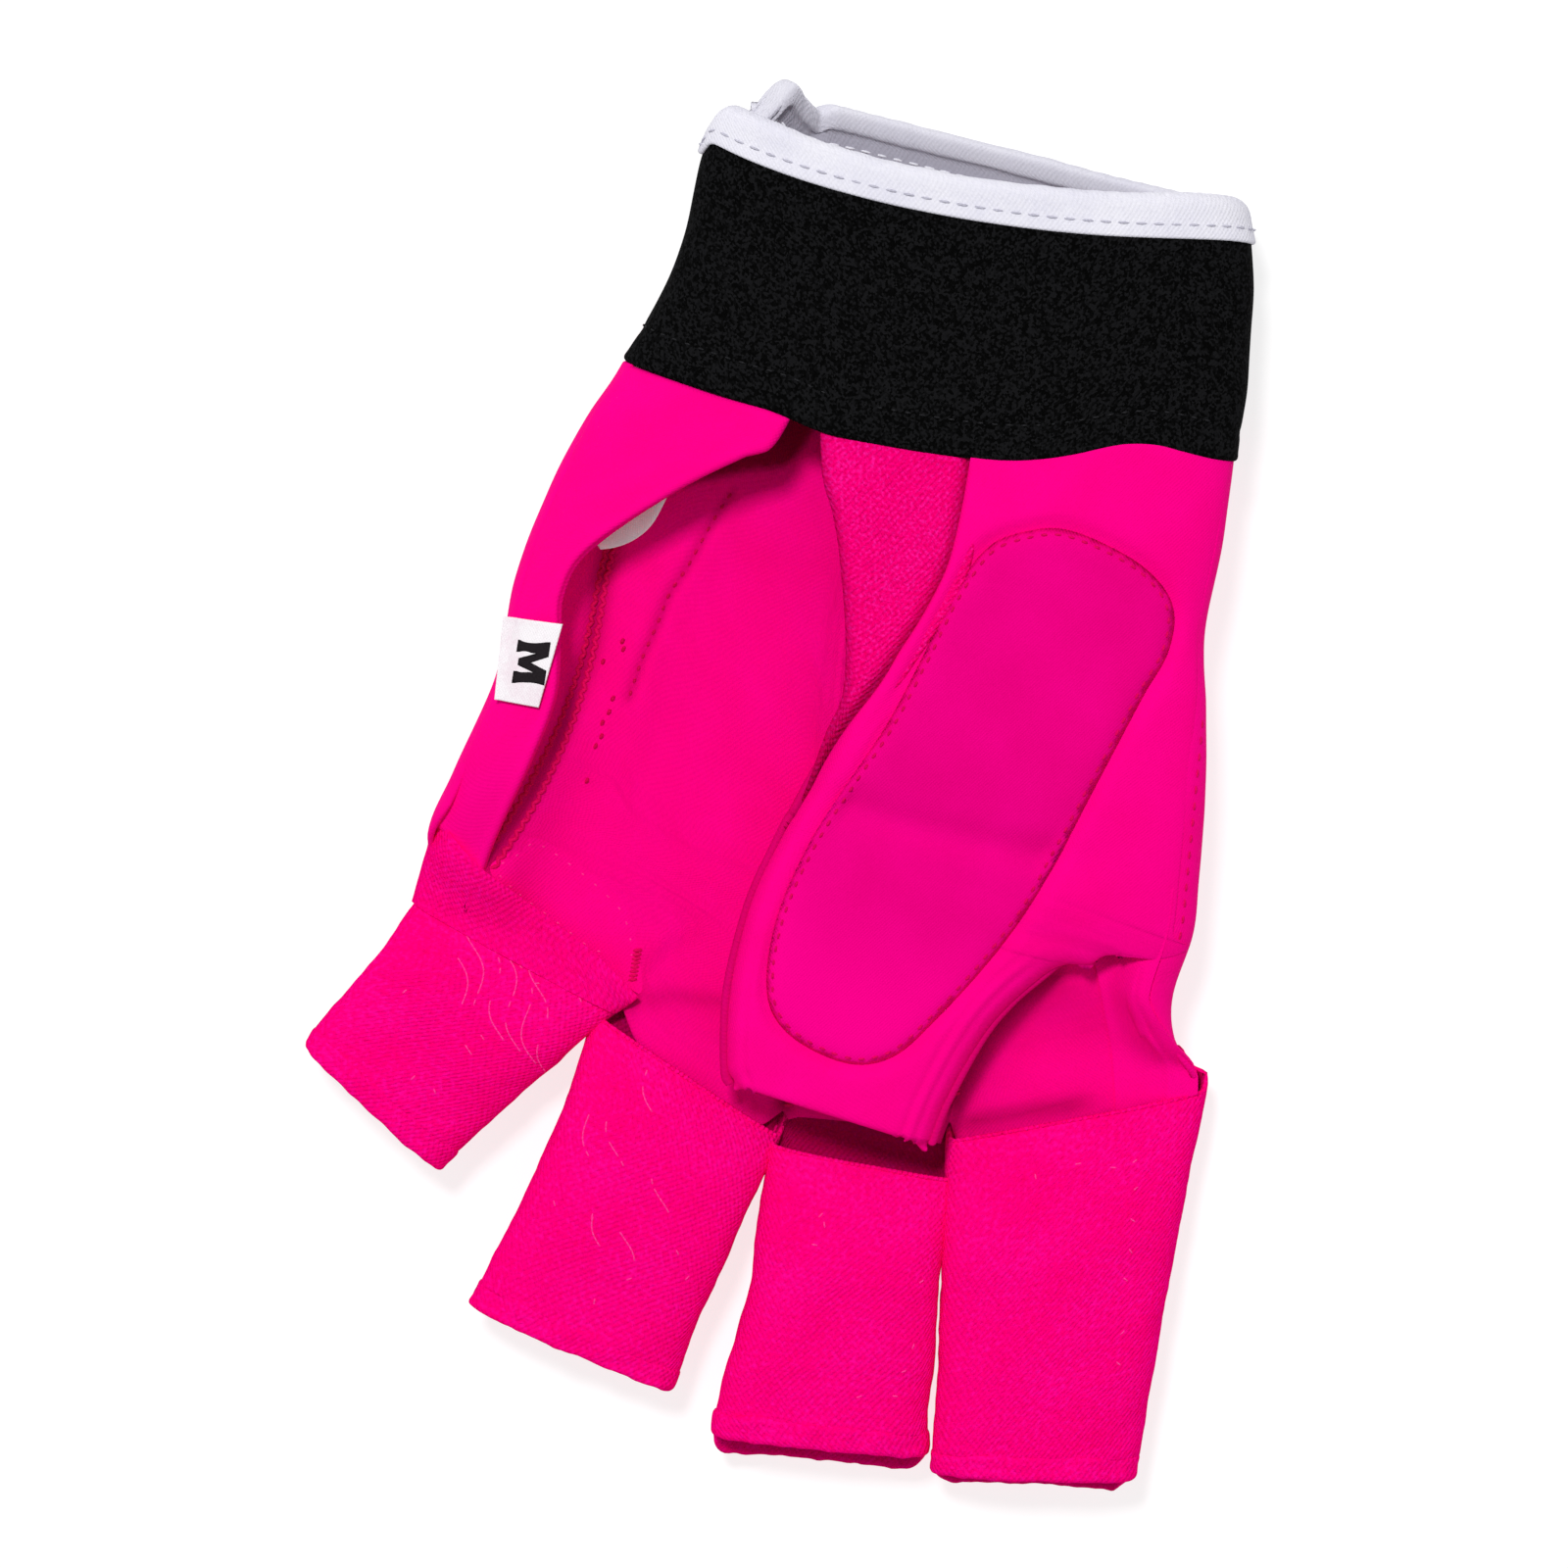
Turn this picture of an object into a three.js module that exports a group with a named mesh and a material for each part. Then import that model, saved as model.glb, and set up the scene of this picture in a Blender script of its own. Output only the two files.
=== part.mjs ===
// Half-finger field hockey glove for the left hand, lying on its padded back with the palm up.
// Millimetres. +X runs across the hand to the thumb side, +Y from the fingertips to the cuff, +Z up.
// The origin is on the surface that the glove lies on, under the middle of the palm.
import * as THREE from "three";

// Driving sizes of the palm and the cuff, measured flat
const palmWidth = 112;
const palmLength = 102;
const cuffWidth = 84;
const cuffLength = 39;

// Heights of the outer skin over the level of the back cover
const knuckleRise = 14;
const palmRise = 20.2;
const heelRise = 20.8;
const wristRise = 20.5;
const mouthRise = 21.4;
const mouthLevel = 1.6;

// Material thicknesses
const backPadThickness = 4.7;
const coverThickness = 1;
const foamThickness = 1.6;
const liningThickness = 0.8;
const palmPanelThickness = 2.4;
const gussetThickness = 1.2;
const thumbPadThickness = 1.2;
const thumbWallThickness = 2;
const stallWallThickness = 1.2;
const cuffWallThickness = 1.6;
const bindingThickness = 0.8;
const tagThickness = 0.5;
const labelThickness = 0.5;

// Clearances between sewn pieces
const seamGap = 0.3;
const crotchGap = 0.8;
const baseGap = 0.4;

// Cuff seam and mouth
const seamLift = 4.6;
const rimFrontLift = 3.9;
const rimBackOverhang = 6.9;
const rimBackSkew = 2.4;
const bindingWidth = 6.3;

// Back pads
const backPadGap = 3;
const knucklePadLength = 15;
const knucklePadInset = 3;
const fingerPadStart = 4;
const fingerPadEnd = 7;

// Finger stalls
const stallHeight = 12;
const hemLength = 3;
const hemProud = 0.5;

// Thumb stall
const thumbHandGap = 4.6;
const thumbTipHeight = 9.6;

// Labels and bar tacks
const tagWidth = 8.6;
const tagLength = 12.7;
const labelWidth = 9;
const labelLength = 13;
const tackLength = 5;
const tackWidth = 1.6;
const tackHeight = 1;
const tackInset = 3;

// Section shapes: exponents of the superellipses
const bodySquareness = 3;
const stallSquareness = 2.6;
const thumbSquareness = 3.2;
const seamReachShare = 0.96;

// Outlines as shares of the palm: along the length from the origin, then across the width
const palmLeftShares = [
  [-0.53, -0.6],
  [-0.273, -0.591],
  [-0.175, -0.601],
  [-0.087, -0.581],
  [0.061, -0.545],
  [0.204, -0.539],
  [0.336, -0.513],
  [0.449, -0.478],
];
const palmRightShares = [
  [-0.53, 0.455],
  [-0.362, 0.45],
  [-0.31, 0.412],
  [-0.25, 0.4],
  [-0.155, 0.412],
  [-0.07, 0.408],
  [0.069, 0.396],
  [0.179, 0.379],
  [0.275, 0.361],
  [0.403, 0.361],
];
// Outlines of the cuff as shares of its length from the seam, then of its width
const cuffLeftShares = [
  [0.1, -0.597],
  [0.52, -0.527],
  [1.02, -0.51],
  [1.2, -0.49],
];
const cuffRightShares = [
  [0.1, 0.483],
  [0.75, 0.471],
  [1.02, 0.436],
  [1.2, 0.385],
];
const cuffSeamShare = 0.482;

// Corners of the finger bases as shares of the palm: across the width, then along the length
const fingerBases = [
  { name: "little", leftShares: [-0.591, -0.273], rightShares: [-0.306, -0.386] },
  { name: "ring", leftShares: [-0.306, -0.386], rightShares: [-0.081, -0.511] },
  { name: "middle", leftShares: [-0.076, -0.532], rightShares: [0.13, -0.532] },
  { name: "index", leftShares: [0.137, -0.474], rightShares: [0.45, -0.362] },
];
const fingerLengths = { little: 30.5, ring: 43.6, middle: 42.3, index: 53.5 };
const fingerTipWidths = { little: 25, ring: 31.8, middle: 31, index: 29.6 };
const fingerLeans = { little: 35.4, ring: 16.7, middle: 0, index: -3 };
const fingerTipTurns = { little: 34, ring: 16.4, middle: -6.4, index: -5 };

// Edges of the palm-side panels as shares of the palm, from the cuff to the fingers: across, then along.
// An edge at a side seam has only its shares along.
const ulnarSideShares = [0.56, 0.47, 0.412, 0.343, 0.255, 0.196, 0.137, 0.049, -0.049, -0.137, -0.216, -0.266];
const ulnarOpeningShares = [
  [-0.197, 0.56],
  [-0.232, 0.454],
  [-0.269, 0.428],
  [-0.35, 0.365],
  [-0.452, 0.265],
  [-0.478, 0.195],
  [-0.473, 0.137],
  [-0.464, 0.049],
  [-0.482, -0.049],
  [-0.504, -0.137],
  [-0.527, -0.216],
  [-0.54, -0.27],
];
const gussetOpeningShares = [
  [-0.188, 0.56],
  [-0.168, 0.431],
  [-0.145, 0.37],
  [-0.129, 0.318],
  [-0.105, 0.209],
  [-0.095, 0.119],
  [-0.111, 0.052],
  [-0.146, -0.044],
];
// Down the seam beside the gusset, then along the flex crease and round the thumb's root
const radialSeamRows = 5;
const radialInnerShares = [
  [0.02, 0.56],
  [0.017, 0.372],
  [0.004, 0.284],
  [-0.043, 0.163],
  [-0.087, 0.063],
  [-0.116, -0.054],
  [0.036, -0.098],
  [0.179, -0.145],
  [0.273, -0.176],
  [0.34, -0.2],
  [0.378, -0.255],
  [0.398, -0.34],
];
const radialSideShares = [0.56, 0.412, 0.324, 0.216, 0.118, 0.029, -0.044, -0.108, -0.157, -0.2, -0.275, -0.345];
const thumbRootPadLeftShares = [
  [0.134, 0.404],
  [0.085, 0.384],
  [0.045, 0.338],
  [0.029, 0.284],
  [-0.009, 0.154],
  [-0.045, 0.044],
  [-0.074, -0.064],
];
const thumbRootPadRightShares = [
  [0.214, 0.402],
  [0.268, 0.374],
  [0.305, 0.325],
  [0.316, 0.265],
  [0.295, 0.147],
  [0.245, 0],
  [0.198, -0.147],
];

// Sides of the thumb stall from its hinge line to its end: across and along on the left, then on the right
const thumbRowShares = [
  [-0.13, -0.059, 0.268, -0.185],
  [-0.142, -0.09, 0.23, -0.235],
  [-0.171, -0.2, 0.19, -0.285],
  [-0.18, -0.315, 0.158, -0.345],
  [-0.169, -0.44, 0.126, -0.445],
  [-0.158, -0.464, 0.113, -0.511],
];
// Outline of the pad on the thumb stall: share along the thumb, then shares across on the left and right
const thumbTipPadShares = [
  [0.015, -0.74, 0.66],
  [0.2, -0.76, 0.68],
  [0.4, -0.79, 0.69],
  [0.6, -0.79, 0.65],
  [0.76, -0.63, 0.45],
  [0.86, -0.28, 0.1],
];

// Back pads across the share of the back, from the little finger's side
const metacarpalPadShares = [0.12, 0.37, 0.62, 0.87];
const metacarpalPadNames = ["ulnar", "middle", "radial"];
const metacarpalPadEndShare = 0.35;
const fingerPadSideShare = 0.75;

// Places of the labels and tacks as shares of the palm
const tagEdgeShares = [-0.466, 0.092];
const tagTurn = -7.7;
const labelPlaceShares = [-0.4, 0.3];
const labelTurn = 37;

// Columns and rows of each sheet's grid, and segments and rows of each tube's
const gridCounts = {
  metacarpalPad: [5, 8],
  knucklePad: [5, 3],
  ulnarPanel: [6, 18],
  radialPanel: [12, 22],
  gusset: [5, 14],
  thumbRootPad: [8, 10],
  thumbHalf: [14, 8],
  thumbTipPad: [8, 10],
  stall: [24, 4],
  hem: [24, 1],
  fingerPad: [6, 5],
  cuff: [40, 6],
  careLabel: [4, 3],
};

// Colours and finishes
const finishes = {
  neoprene: new THREE.MeshStandardMaterial({ color: 0xf5007f, roughness: 0.75, metalness: 0 }),
  pad: new THREE.MeshStandardMaterial({ color: 0xe0007a, roughness: 0.7, metalness: 0 }),
  knit: new THREE.MeshStandardMaterial({ color: 0xf50078, roughness: 0.9, metalness: 0 }),
  lining: new THREE.MeshStandardMaterial({ color: 0xe6006f, roughness: 0.85, metalness: 0 }),
  foam: new THREE.MeshStandardMaterial({ color: 0xd8d2c8, roughness: 0.95, metalness: 0 }),
  elastic: new THREE.MeshStandardMaterial({ color: 0x0d0d0e, roughness: 0.85, metalness: 0 }),
  binding: new THREE.MeshStandardMaterial({ color: 0xe2e0ec, roughness: 0.7, metalness: 0 }),
  label: new THREE.MeshStandardMaterial({ color: 0xf0eef2, roughness: 0.5, metalness: 0 }),
};

// Levels worked out from the thicknesses
const backLevel = backPadThickness + seamGap;
const foamDepth = coverThickness + seamGap;
const liningDepth = foamDepth + foamThickness + seamGap;
const shellThickness = liningDepth + liningThickness;
const liningTop = backLevel + shellThickness;
const thumbBottom = liningTop + thumbHandGap;
const seamLine = cuffSeamShare * palmLength;
const stallMiddle = backLevel + stallHeight / 2;

// Helpers for shares and smooth curves
const mix = THREE.MathUtils.lerp;
const palmPoint = ([across, along]) => new THREE.Vector2(across * palmWidth, along * palmLength);

// A smooth value at a place along a list of [place, value] points.
function smoothAt(points, place) {
  const last = points.length - 1;
  if (place <= points[0][0]) return points[0][1];
  if (place >= points[last][0]) return points[last][1];
  const next = points.findIndex(([at]) => at > place);
  const slopeAt = (index) => {
    const before = points[Math.max(index - 1, 0)];
    const after = points[Math.min(index + 1, last)];
    return (after[1] - before[1]) / (after[0] - before[0]);
  };
  const [startPlace, startValue] = points[next - 1];
  const [endPlace, endValue] = points[next];
  const span = endPlace - startPlace;
  const t = (place - startPlace) / span;
  const startPull = t * (1 - t) * (1 - t) * span * slopeAt(next - 1);
  const endPull = t * t * (t - 1) * span * slopeAt(next);
  const blend = t * t * (3 - 2 * t);
  return mix(startValue, endValue, blend) + startPull + endPull;
}

// A column of a table at a share of the way down its rows.
function tableAt(table, column, share) {
  const points = table.map((row, index) => [index / (table.length - 1), row[column]]);
  return smoothAt(points, share);
}

// The body of the glove is one soft tube, whose sections across Y are superellipses.
const leftOutline = [
  ...palmLeftShares.map(([along, across]) => [along * palmLength, across * palmWidth]),
  ...cuffLeftShares.map(([along, across]) => [seamLine + along * cuffLength, across * cuffWidth]),
];
const rightOutline = [
  ...palmRightShares.map(([along, across]) => [along * palmLength, across * palmWidth]),
  ...cuffRightShares.map(([along, across]) => [seamLine + along * cuffLength, across * cuffWidth]),
];
const rimLine = seamLine + cuffLength;
const middleBase = fingerBases.find(({ name }) => name === "middle");
const topHeights = [
  [middleBase.leftShares[1] * palmLength, backLevel + knuckleRise],
  [0, backLevel + palmRise],
  [seamLine / 2, backLevel + heelRise],
  [seamLine, backLevel + wristRise],
  [rimLine, mouthLevel + mouthRise],
];
const bottomHeights = [
  [0, backLevel],
  [seamLine / 2, backLevel],
  [seamLine, backLevel],
  [rimLine, mouthLevel],
];

function section(y) {
  const left = smoothAt(leftOutline, y);
  const right = smoothAt(rightOutline, y);
  const top = smoothAt(topHeights, y);
  const bottom = smoothAt(bottomHeights, y);
  return {
    centreX: (left + right) / 2,
    halfWidth: (right - left) / 2,
    centreZ: (top + bottom) / 2,
    halfHeight: (top - bottom) / 2,
  };
}

// The share of a half size that a superellipse reaches at an angle's sine or cosine, and back again.
const reach = (value, squareness) => Math.sign(value) * Math.abs(value) ** (2 / squareness);
const reachAngle = (share, squareness) => Math.acos(Math.sign(share) * Math.abs(share) ** (squareness / 2));

function wallPoint(angle, y, depth) {
  const { centreX, halfWidth, centreZ, halfHeight } = section(y);
  const x = centreX + (halfWidth - depth) * reach(Math.cos(angle), bodySquareness);
  const z = centreZ + (halfHeight - depth) * reach(Math.sin(angle), bodySquareness);
  return new THREE.Vector3(x, y, z);
}

// The palm side of the body over a place in plan.
function palmSidePoint(x, y, depth) {
  const { centreX, halfWidth } = section(y);
  const share = THREE.MathUtils.clamp((x - centreX) / halfWidth, -1, 1);
  return wallPoint(reachAngle(share, bodySquareness), y, depth);
}

// The cuff seam dips towards the fingers at its middle.
function seamY(acrossShare) {
  const fromMiddle = 2 * acrossShare - 1;
  return seamLine + seamLift * fromMiddle * fromMiddle;
}

// The mouth of the cuff reaches further at the back than at the front.
function rimY(angle) {
  const fromMiddle = reach(Math.cos(angle), bodySquareness);
  const front = rimLine + rimFrontLift * fromMiddle * fromMiddle;
  const back = rimLine + rimBackOverhang - rimBackSkew * fromMiddle;
  return mix(back, front, (1 + Math.sin(angle)) / 2);
}

// Closed solids from grids of points

// Builds a geometry from points and triangles, with its faces turned outwards.
function closedGeometry(points, triangles) {
  let volume = 0;
  for (const [a, b, c] of triangles) {
    volume += points[a].dot(new THREE.Vector3().crossVectors(points[b], points[c]));
  }
  const index = triangles.flatMap(([a, b, c]) => (volume > 0 ? [a, b, c] : [a, c, b]));
  const geometry = new THREE.BufferGeometry().setFromPoints(points);
  geometry.setIndex(index);
  geometry.computeVertexNormals();
  return geometry;
}

// A sheet with an outer and an inner face, each a grid of points over shares u and v.
function sheet(columns, rows, outer, inner) {
  const points = [];
  const triangles = [];
  const at = (face, column, row) => (face * (rows + 1) + row) * (columns + 1) + column;
  const quad = (a, b, c, d) => triangles.push([a, b, c], [a, c, d]);
  for (const face of [outer, inner]) {
    for (let row = 0; row <= rows; row++) {
      for (let column = 0; column <= columns; column++) points.push(face(column / columns, row / rows));
    }
  }
  for (let row = 0; row < rows; row++) {
    for (let column = 0; column < columns; column++) {
      quad(at(0, column, row), at(0, column + 1, row), at(0, column + 1, row + 1), at(0, column, row + 1));
      quad(at(1, column, row), at(1, column, row + 1), at(1, column + 1, row + 1), at(1, column + 1, row));
    }
    quad(at(0, 0, row), at(0, 0, row + 1), at(1, 0, row + 1), at(1, 0, row));
    quad(at(0, columns, row), at(1, columns, row), at(1, columns, row + 1), at(0, columns, row + 1));
  }
  for (let column = 0; column < columns; column++) {
    quad(at(0, column, 0), at(1, column, 0), at(1, column + 1, 0), at(0, column + 1, 0));
    quad(at(0, column, rows), at(0, column + 1, rows), at(1, column + 1, rows), at(1, column, rows));
  }
  return closedGeometry(points, triangles);
}

// A ring swept round a closed loop: profile(angle) gives the points of its closed section.
function loop(segments, profile) {
  const points = [];
  const triangles = [];
  for (let segment = 0; segment < segments; segment++) {
    points.push(...profile((2 * Math.PI * segment) / segments));
  }
  const sides = points.length / segments;
  for (let segment = 0; segment < segments; segment++) {
    const nextSegment = (segment + 1) % segments;
    for (let side = 0; side < sides; side++) {
      const nextSide = (side + 1) % sides;
      const a = segment * sides + side;
      const b = nextSegment * sides + side;
      const c = nextSegment * sides + nextSide;
      const d = segment * sides + nextSide;
      triangles.push([a, b, c], [a, c, d]);
    }
  }
  return closedGeometry(points, triangles);
}

// A tube with open ends: point(angle, share, depth) lies on its outer face at depth zero.
function sleeve(segments, rows, thickness, point) {
  return loop(segments, (angle) => {
    const outside = [];
    const inside = [];
    for (let row = 0; row <= rows; row++) {
      outside.push(point(angle, row / rows, 0));
      inside.unshift(point(angle, row / rows, thickness));
    }
    return [...outside, ...inside];
  });
}

const glove = new THREE.Group();

function addPiece(name, geometry, finish) {
  const mesh = new THREE.Mesh(geometry, finishes[finish]);
  mesh.name = name;
  glove.add(mesh);
  return mesh;
}

// Back of the hand: cover, foam and lining, sewn to the palm panels along both side seams.
// Its columns start at the side seams and at even steps along each finger's base.
const shellRows = 10;
const baseSteps = 4;
const wallSteps = 2;

function acrossShareAt(x, y) {
  const { centreX, halfWidth } = section(y);
  return (x - centreX) / halfWidth / 2 + 0.5;
}

const backAngle = (acrossShare) =>
  2 * Math.PI - reachAngle(THREE.MathUtils.clamp(2 * acrossShare - 1, -1, 1), bodySquareness);
const sideSeamAngle = reachAngle(seamReachShare + (2 * seamGap) / palmWidth, bodySquareness);
const fingerEnds = [];
for (const { leftShares, rightShares } of fingerBases) {
  for (let step = 0; step <= baseSteps; step++) {
    const place = palmPoint(leftShares).lerp(palmPoint(rightShares), step / baseSteps);
    fingerEnds.push([acrossShareAt(place.x, place.y), place.y]);
  }
}
fingerEnds.splice(baseSteps, 1);
const backColumns = fingerEnds.map(([acrossShare, startY]) => ({ angle: backAngle(acrossShare), startY }));
for (let step = 1; step <= wallSteps; step++) {
  const turn = (sideSeamAngle * step) / wallSteps;
  backColumns.unshift({ angle: Math.PI - turn, startY: fingerEnds[0][1] });
  backColumns.push({ angle: 2 * Math.PI + turn, startY: fingerEnds[fingerEnds.length - 1][1] });
}

function backPoint(u, v, depth) {
  const { angle, startY } = backColumns[Math.round(u * (backColumns.length - 1))];
  const acrossShare = (1 + reach(Math.cos(angle), bodySquareness)) / 2;
  return wallPoint(angle, mix(startY, seamY(acrossShare) - seamGap, v), depth);
}

function backLayer(outerDepth, innerDepth) {
  return sheet(
    backColumns.length - 1,
    shellRows,
    (u, v) => backPoint(u, v, outerDepth),
    (u, v) => backPoint(u, v, innerDepth),
  );
}

addPiece("back_cover", backLayer(0, coverThickness), "neoprene");
addPiece("back_foam", backLayer(foamDepth, foamDepth + foamThickness), "foam");
addPiece("back_lining", backLayer(liningDepth, shellThickness), "lining");

// Foam pads on the back, flat where the glove rests on them
function fingerEndY(acrossShare) {
  const next = Math.max(fingerEnds.findIndex(([across]) => across >= acrossShare), 1);
  const [startAcross, startY] = fingerEnds[next - 1];
  const [endAcross, endY] = fingerEnds[next];
  return mix(startY, endY, (acrossShare - startAcross) / (endAcross - startAcross));
}

function backPad(acrossStart, acrossEnd, alongStart, alongEnd, counts) {
  const place = (u, v) => {
    const acrossShare = mix(acrossStart, acrossEnd, u);
    const angle = 2 * Math.PI - reachAngle(2 * acrossShare - 1, bodySquareness);
    return wallPoint(angle, mix(alongStart(acrossShare), alongEnd(acrossShare), v), -seamGap);
  };
  return sheet(...counts, place, (u, v) => place(u, v).setZ(0));
}

const knuckleStartY = (acrossShare) => fingerEndY(acrossShare) + knucklePadInset;
const knuckleEndY = (acrossShare) => knuckleStartY(acrossShare) + knucklePadLength;
const padHalfGapShare = backPadGap / palmWidth / 2;

metacarpalPadNames.forEach((name, index) => {
  const pad = backPad(
    metacarpalPadShares[index] + padHalfGapShare,
    metacarpalPadShares[index + 1] - padHalfGapShare,
    (acrossShare) => knuckleEndY(acrossShare) + backPadGap,
    () => metacarpalPadEndShare * palmLength,
    gridCounts.metacarpalPad,
  );
  addPiece("metacarpal_pad_" + name, pad, "pad");
});

for (const { name, leftShares, rightShares } of fingerBases) {
  const left = palmPoint(leftShares);
  const right = palmPoint(rightShares);
  const leftEdge = Math.max(acrossShareAt(left.x, left.y), metacarpalPadShares[0]);
  const rightEdge = Math.min(acrossShareAt(right.x, right.y), metacarpalPadShares[metacarpalPadNames.length]);
  const pad = backPad(
    leftEdge + padHalfGapShare,
    rightEdge - padHalfGapShare,
    knuckleStartY,
    knuckleEndY,
    gridCounts.knucklePad,
  );
  addPiece("knuckle_pad_" + name, pad, "pad");
}

// Palm-side panels, each a sheet on the body between two edges in plan
function sideSeamX(y, side) {
  const { centreX, halfWidth } = section(y);
  return centreX + side * seamReachShare * halfWidth;
}

function sideEdge(alongShares, side) {
  const points = alongShares.map((along) => [along]);
  return (v) => {
    const y = tableAt(points, 0, v) * palmLength;
    return new THREE.Vector2(sideSeamX(y, side), y);
  };
}

const shareEdge = (shares) => (v) => palmPoint([tableAt(shares, 0, v), tableAt(shares, 1, v)]);

function panelPlace(left, right, u) {
  const place = left.clone().lerp(right, u);
  const acrossShare = acrossShareAt(place.x, seamLine);
  return [place.x, Math.min(place.y, seamY(acrossShare) - seamGap)];
}

function panel(leftEdge, rightEdge, counts, outerDepth, innerDepth) {
  return sheet(
    ...counts,
    (u, v) => palmSidePoint(...panelPlace(leftEdge(v), rightEdge(v), u), outerDepth),
    (u, v) => palmSidePoint(...panelPlace(leftEdge(v), rightEdge(v), u), innerDepth),
  );
}

const ulnarSide = sideEdge(ulnarSideShares, -1);
const ulnarOpening = shareEdge(ulnarOpeningShares);
const ulnarPanel = panel(ulnarSide, ulnarOpening, gridCounts.ulnarPanel, 0, palmPanelThickness);
addPiece("ulnar_palm_panel", ulnarPanel, "neoprene");

const radialInner = shareEdge(radialInnerShares);
const radialSide = sideEdge(radialSideShares, 1);
const radialPanel = panel(radialInner, radialSide, gridCounts.radialPanel, 0, palmPanelThickness);
addPiece("radial_palm_panel", radialPanel, "neoprene");

const gussetSeamShare = radialSeamRows / (radialInnerShares.length - 1);
const gussetSeam = (v) => radialInner(v * gussetSeamShare).sub(new THREE.Vector2(2 * seamGap, 0));
const gusset = panel(shareEdge(gussetOpeningShares), gussetSeam, gridCounts.gusset, 0, gussetThickness);
addPiece("thumb_gusset", gusset, "knit");

const padTopDepth = -seamGap - thumbPadThickness;
const rootPadLeft = shareEdge(thumbRootPadLeftShares);
const rootPadRight = shareEdge(thumbRootPadRightShares);
const thumbPadRoot = panel(rootPadLeft, rootPadRight, gridCounts.thumbRootPad, padTopDepth, -seamGap);
addPiece("thumb_pad_root", thumbPadRoot, "pad");

// Thumb stall: a front and a back half, from the flex crease to its open end
const thumbRootMiddle = palmPoint([
  (thumbRowShares[0][0] + thumbRowShares[0][2]) / 2,
  (thumbRowShares[0][1] + thumbRowShares[0][3]) / 2,
]);
const thumbRootTop = palmSidePoint(thumbRootMiddle.x, thumbRootMiddle.y, 0).z;

function thumbPoint(acrossShare, side, alongShare, depth) {
  const left = palmPoint([tableAt(thumbRowShares, 0, alongShare), tableAt(thumbRowShares, 1, alongShare)]);
  const right = palmPoint([tableAt(thumbRowShares, 2, alongShare), tableAt(thumbRowShares, 3, alongShare)]);
  const halfHeight = mix(thumbRootTop - thumbBottom, thumbTipHeight, alongShare) / 2;
  const halfWidth = left.distanceTo(right) / 2;
  const insetShare = (halfWidth - depth) / halfWidth;
  const middle = left.clone().lerp(right, 0.5);
  const place = middle.lerp(acrossShare > 0 ? right : left, Math.abs(acrossShare) * insetShare);
  const rise = (1 - Math.abs(acrossShare) ** thumbSquareness) ** (1 / thumbSquareness);
  return new THREE.Vector3(place.x, place.y, thumbBottom + halfHeight + side * (halfHeight - depth) * rise);
}

// Half of the thumb's wall, split along both edges with the seam gap between the halves.
function thumbHalf(side) {
  const place = (u, v, depth) => {
    const point = thumbPoint(reach(Math.cos(Math.PI * u), thumbSquareness), side, v, depth);
    point.z += (side * seamGap) / 2;
    return point;
  };
  return sheet(
    ...gridCounts.thumbHalf,
    (u, v) => place(u, v, 0),
    (u, v) => place(u, v, thumbWallThickness),
  );
}

addPiece("thumb_front", thumbHalf(1), "neoprene");
addPiece("thumb_back", thumbHalf(-1), "neoprene");

function thumbPadPoint(u, v, depth) {
  const alongShare = tableAt(thumbTipPadShares, 0, v);
  const acrossShare = mix(tableAt(thumbTipPadShares, 1, v), tableAt(thumbTipPadShares, 2, v), u);
  const point = thumbPoint(acrossShare, 1, alongShare, depth);
  point.z += seamGap / 2;
  return point;
}

const thumbPadTip = sheet(
  ...gridCounts.thumbTipPad,
  (u, v) => thumbPadPoint(u, v, padTopDepth),
  (u, v) => thumbPadPoint(u, v, -seamGap),
);
addPiece("thumb_pad_tip", thumbPadTip, "pad");

// Finger stalls: open knitted tubes with a turned hem at the end and a foam pad on the back
function degreesDirection(degrees) {
  const angle = THREE.MathUtils.degToRad(degrees);
  return new THREE.Vector2(-Math.sin(angle), -Math.cos(angle));
}

function stallFrame({ name, leftShares, rightShares }) {
  const left = palmPoint(leftShares);
  const right = palmPoint(rightShares);
  const inset = crotchGap / 2 / left.distanceTo(right);
  const baseLeft = left.clone().lerp(right, inset);
  const baseRight = right.clone().lerp(left, inset);
  const lean = degreesDirection(fingerLeans[name]);
  baseLeft.addScaledVector(lean, baseGap);
  baseRight.addScaledVector(lean, baseGap);
  const tipMiddle = baseLeft.clone().lerp(baseRight, 0.5).addScaledVector(lean, fingerLengths[name]);
  const turn = degreesDirection(fingerTipTurns[name]);
  const acrossTip = new THREE.Vector2(-turn.y, turn.x);
  const tipLeft = tipMiddle.clone().addScaledVector(acrossTip, -fingerTipWidths[name] / 2);
  const tipRight = tipMiddle.clone().addScaledVector(acrossTip, fingerTipWidths[name] / 2);
  return { length: fingerLengths[name], baseLeft, baseRight, tipLeft, tipRight };
}

// A point of a stall's section: acrossShare and riseShare are shares of its half width and half height.
function stallPoint(frame, acrossShare, riseShare, distance, depth) {
  const left = frame.baseLeft.clone().lerp(frame.tipLeft, distance / frame.length);
  const right = frame.baseRight.clone().lerp(frame.tipRight, distance / frame.length);
  const halfWidth = left.distanceTo(right) / 2;
  const insetShare = (halfWidth - depth) / halfWidth;
  const place = left.clone().lerp(right, (1 + acrossShare * insetShare) / 2);
  return new THREE.Vector3(place.x, place.y, stallMiddle + (stallHeight / 2 - depth) * riseShare);
}

function stallSleeve(frame, start, end, counts, proud, thickness) {
  return sleeve(...counts, thickness, (angle, share, depth) => {
    const across = reach(Math.cos(angle), stallSquareness);
    const rise = reach(Math.sin(angle), stallSquareness);
    return stallPoint(frame, across, rise, mix(start, end, share), depth - proud);
  });
}

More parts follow.
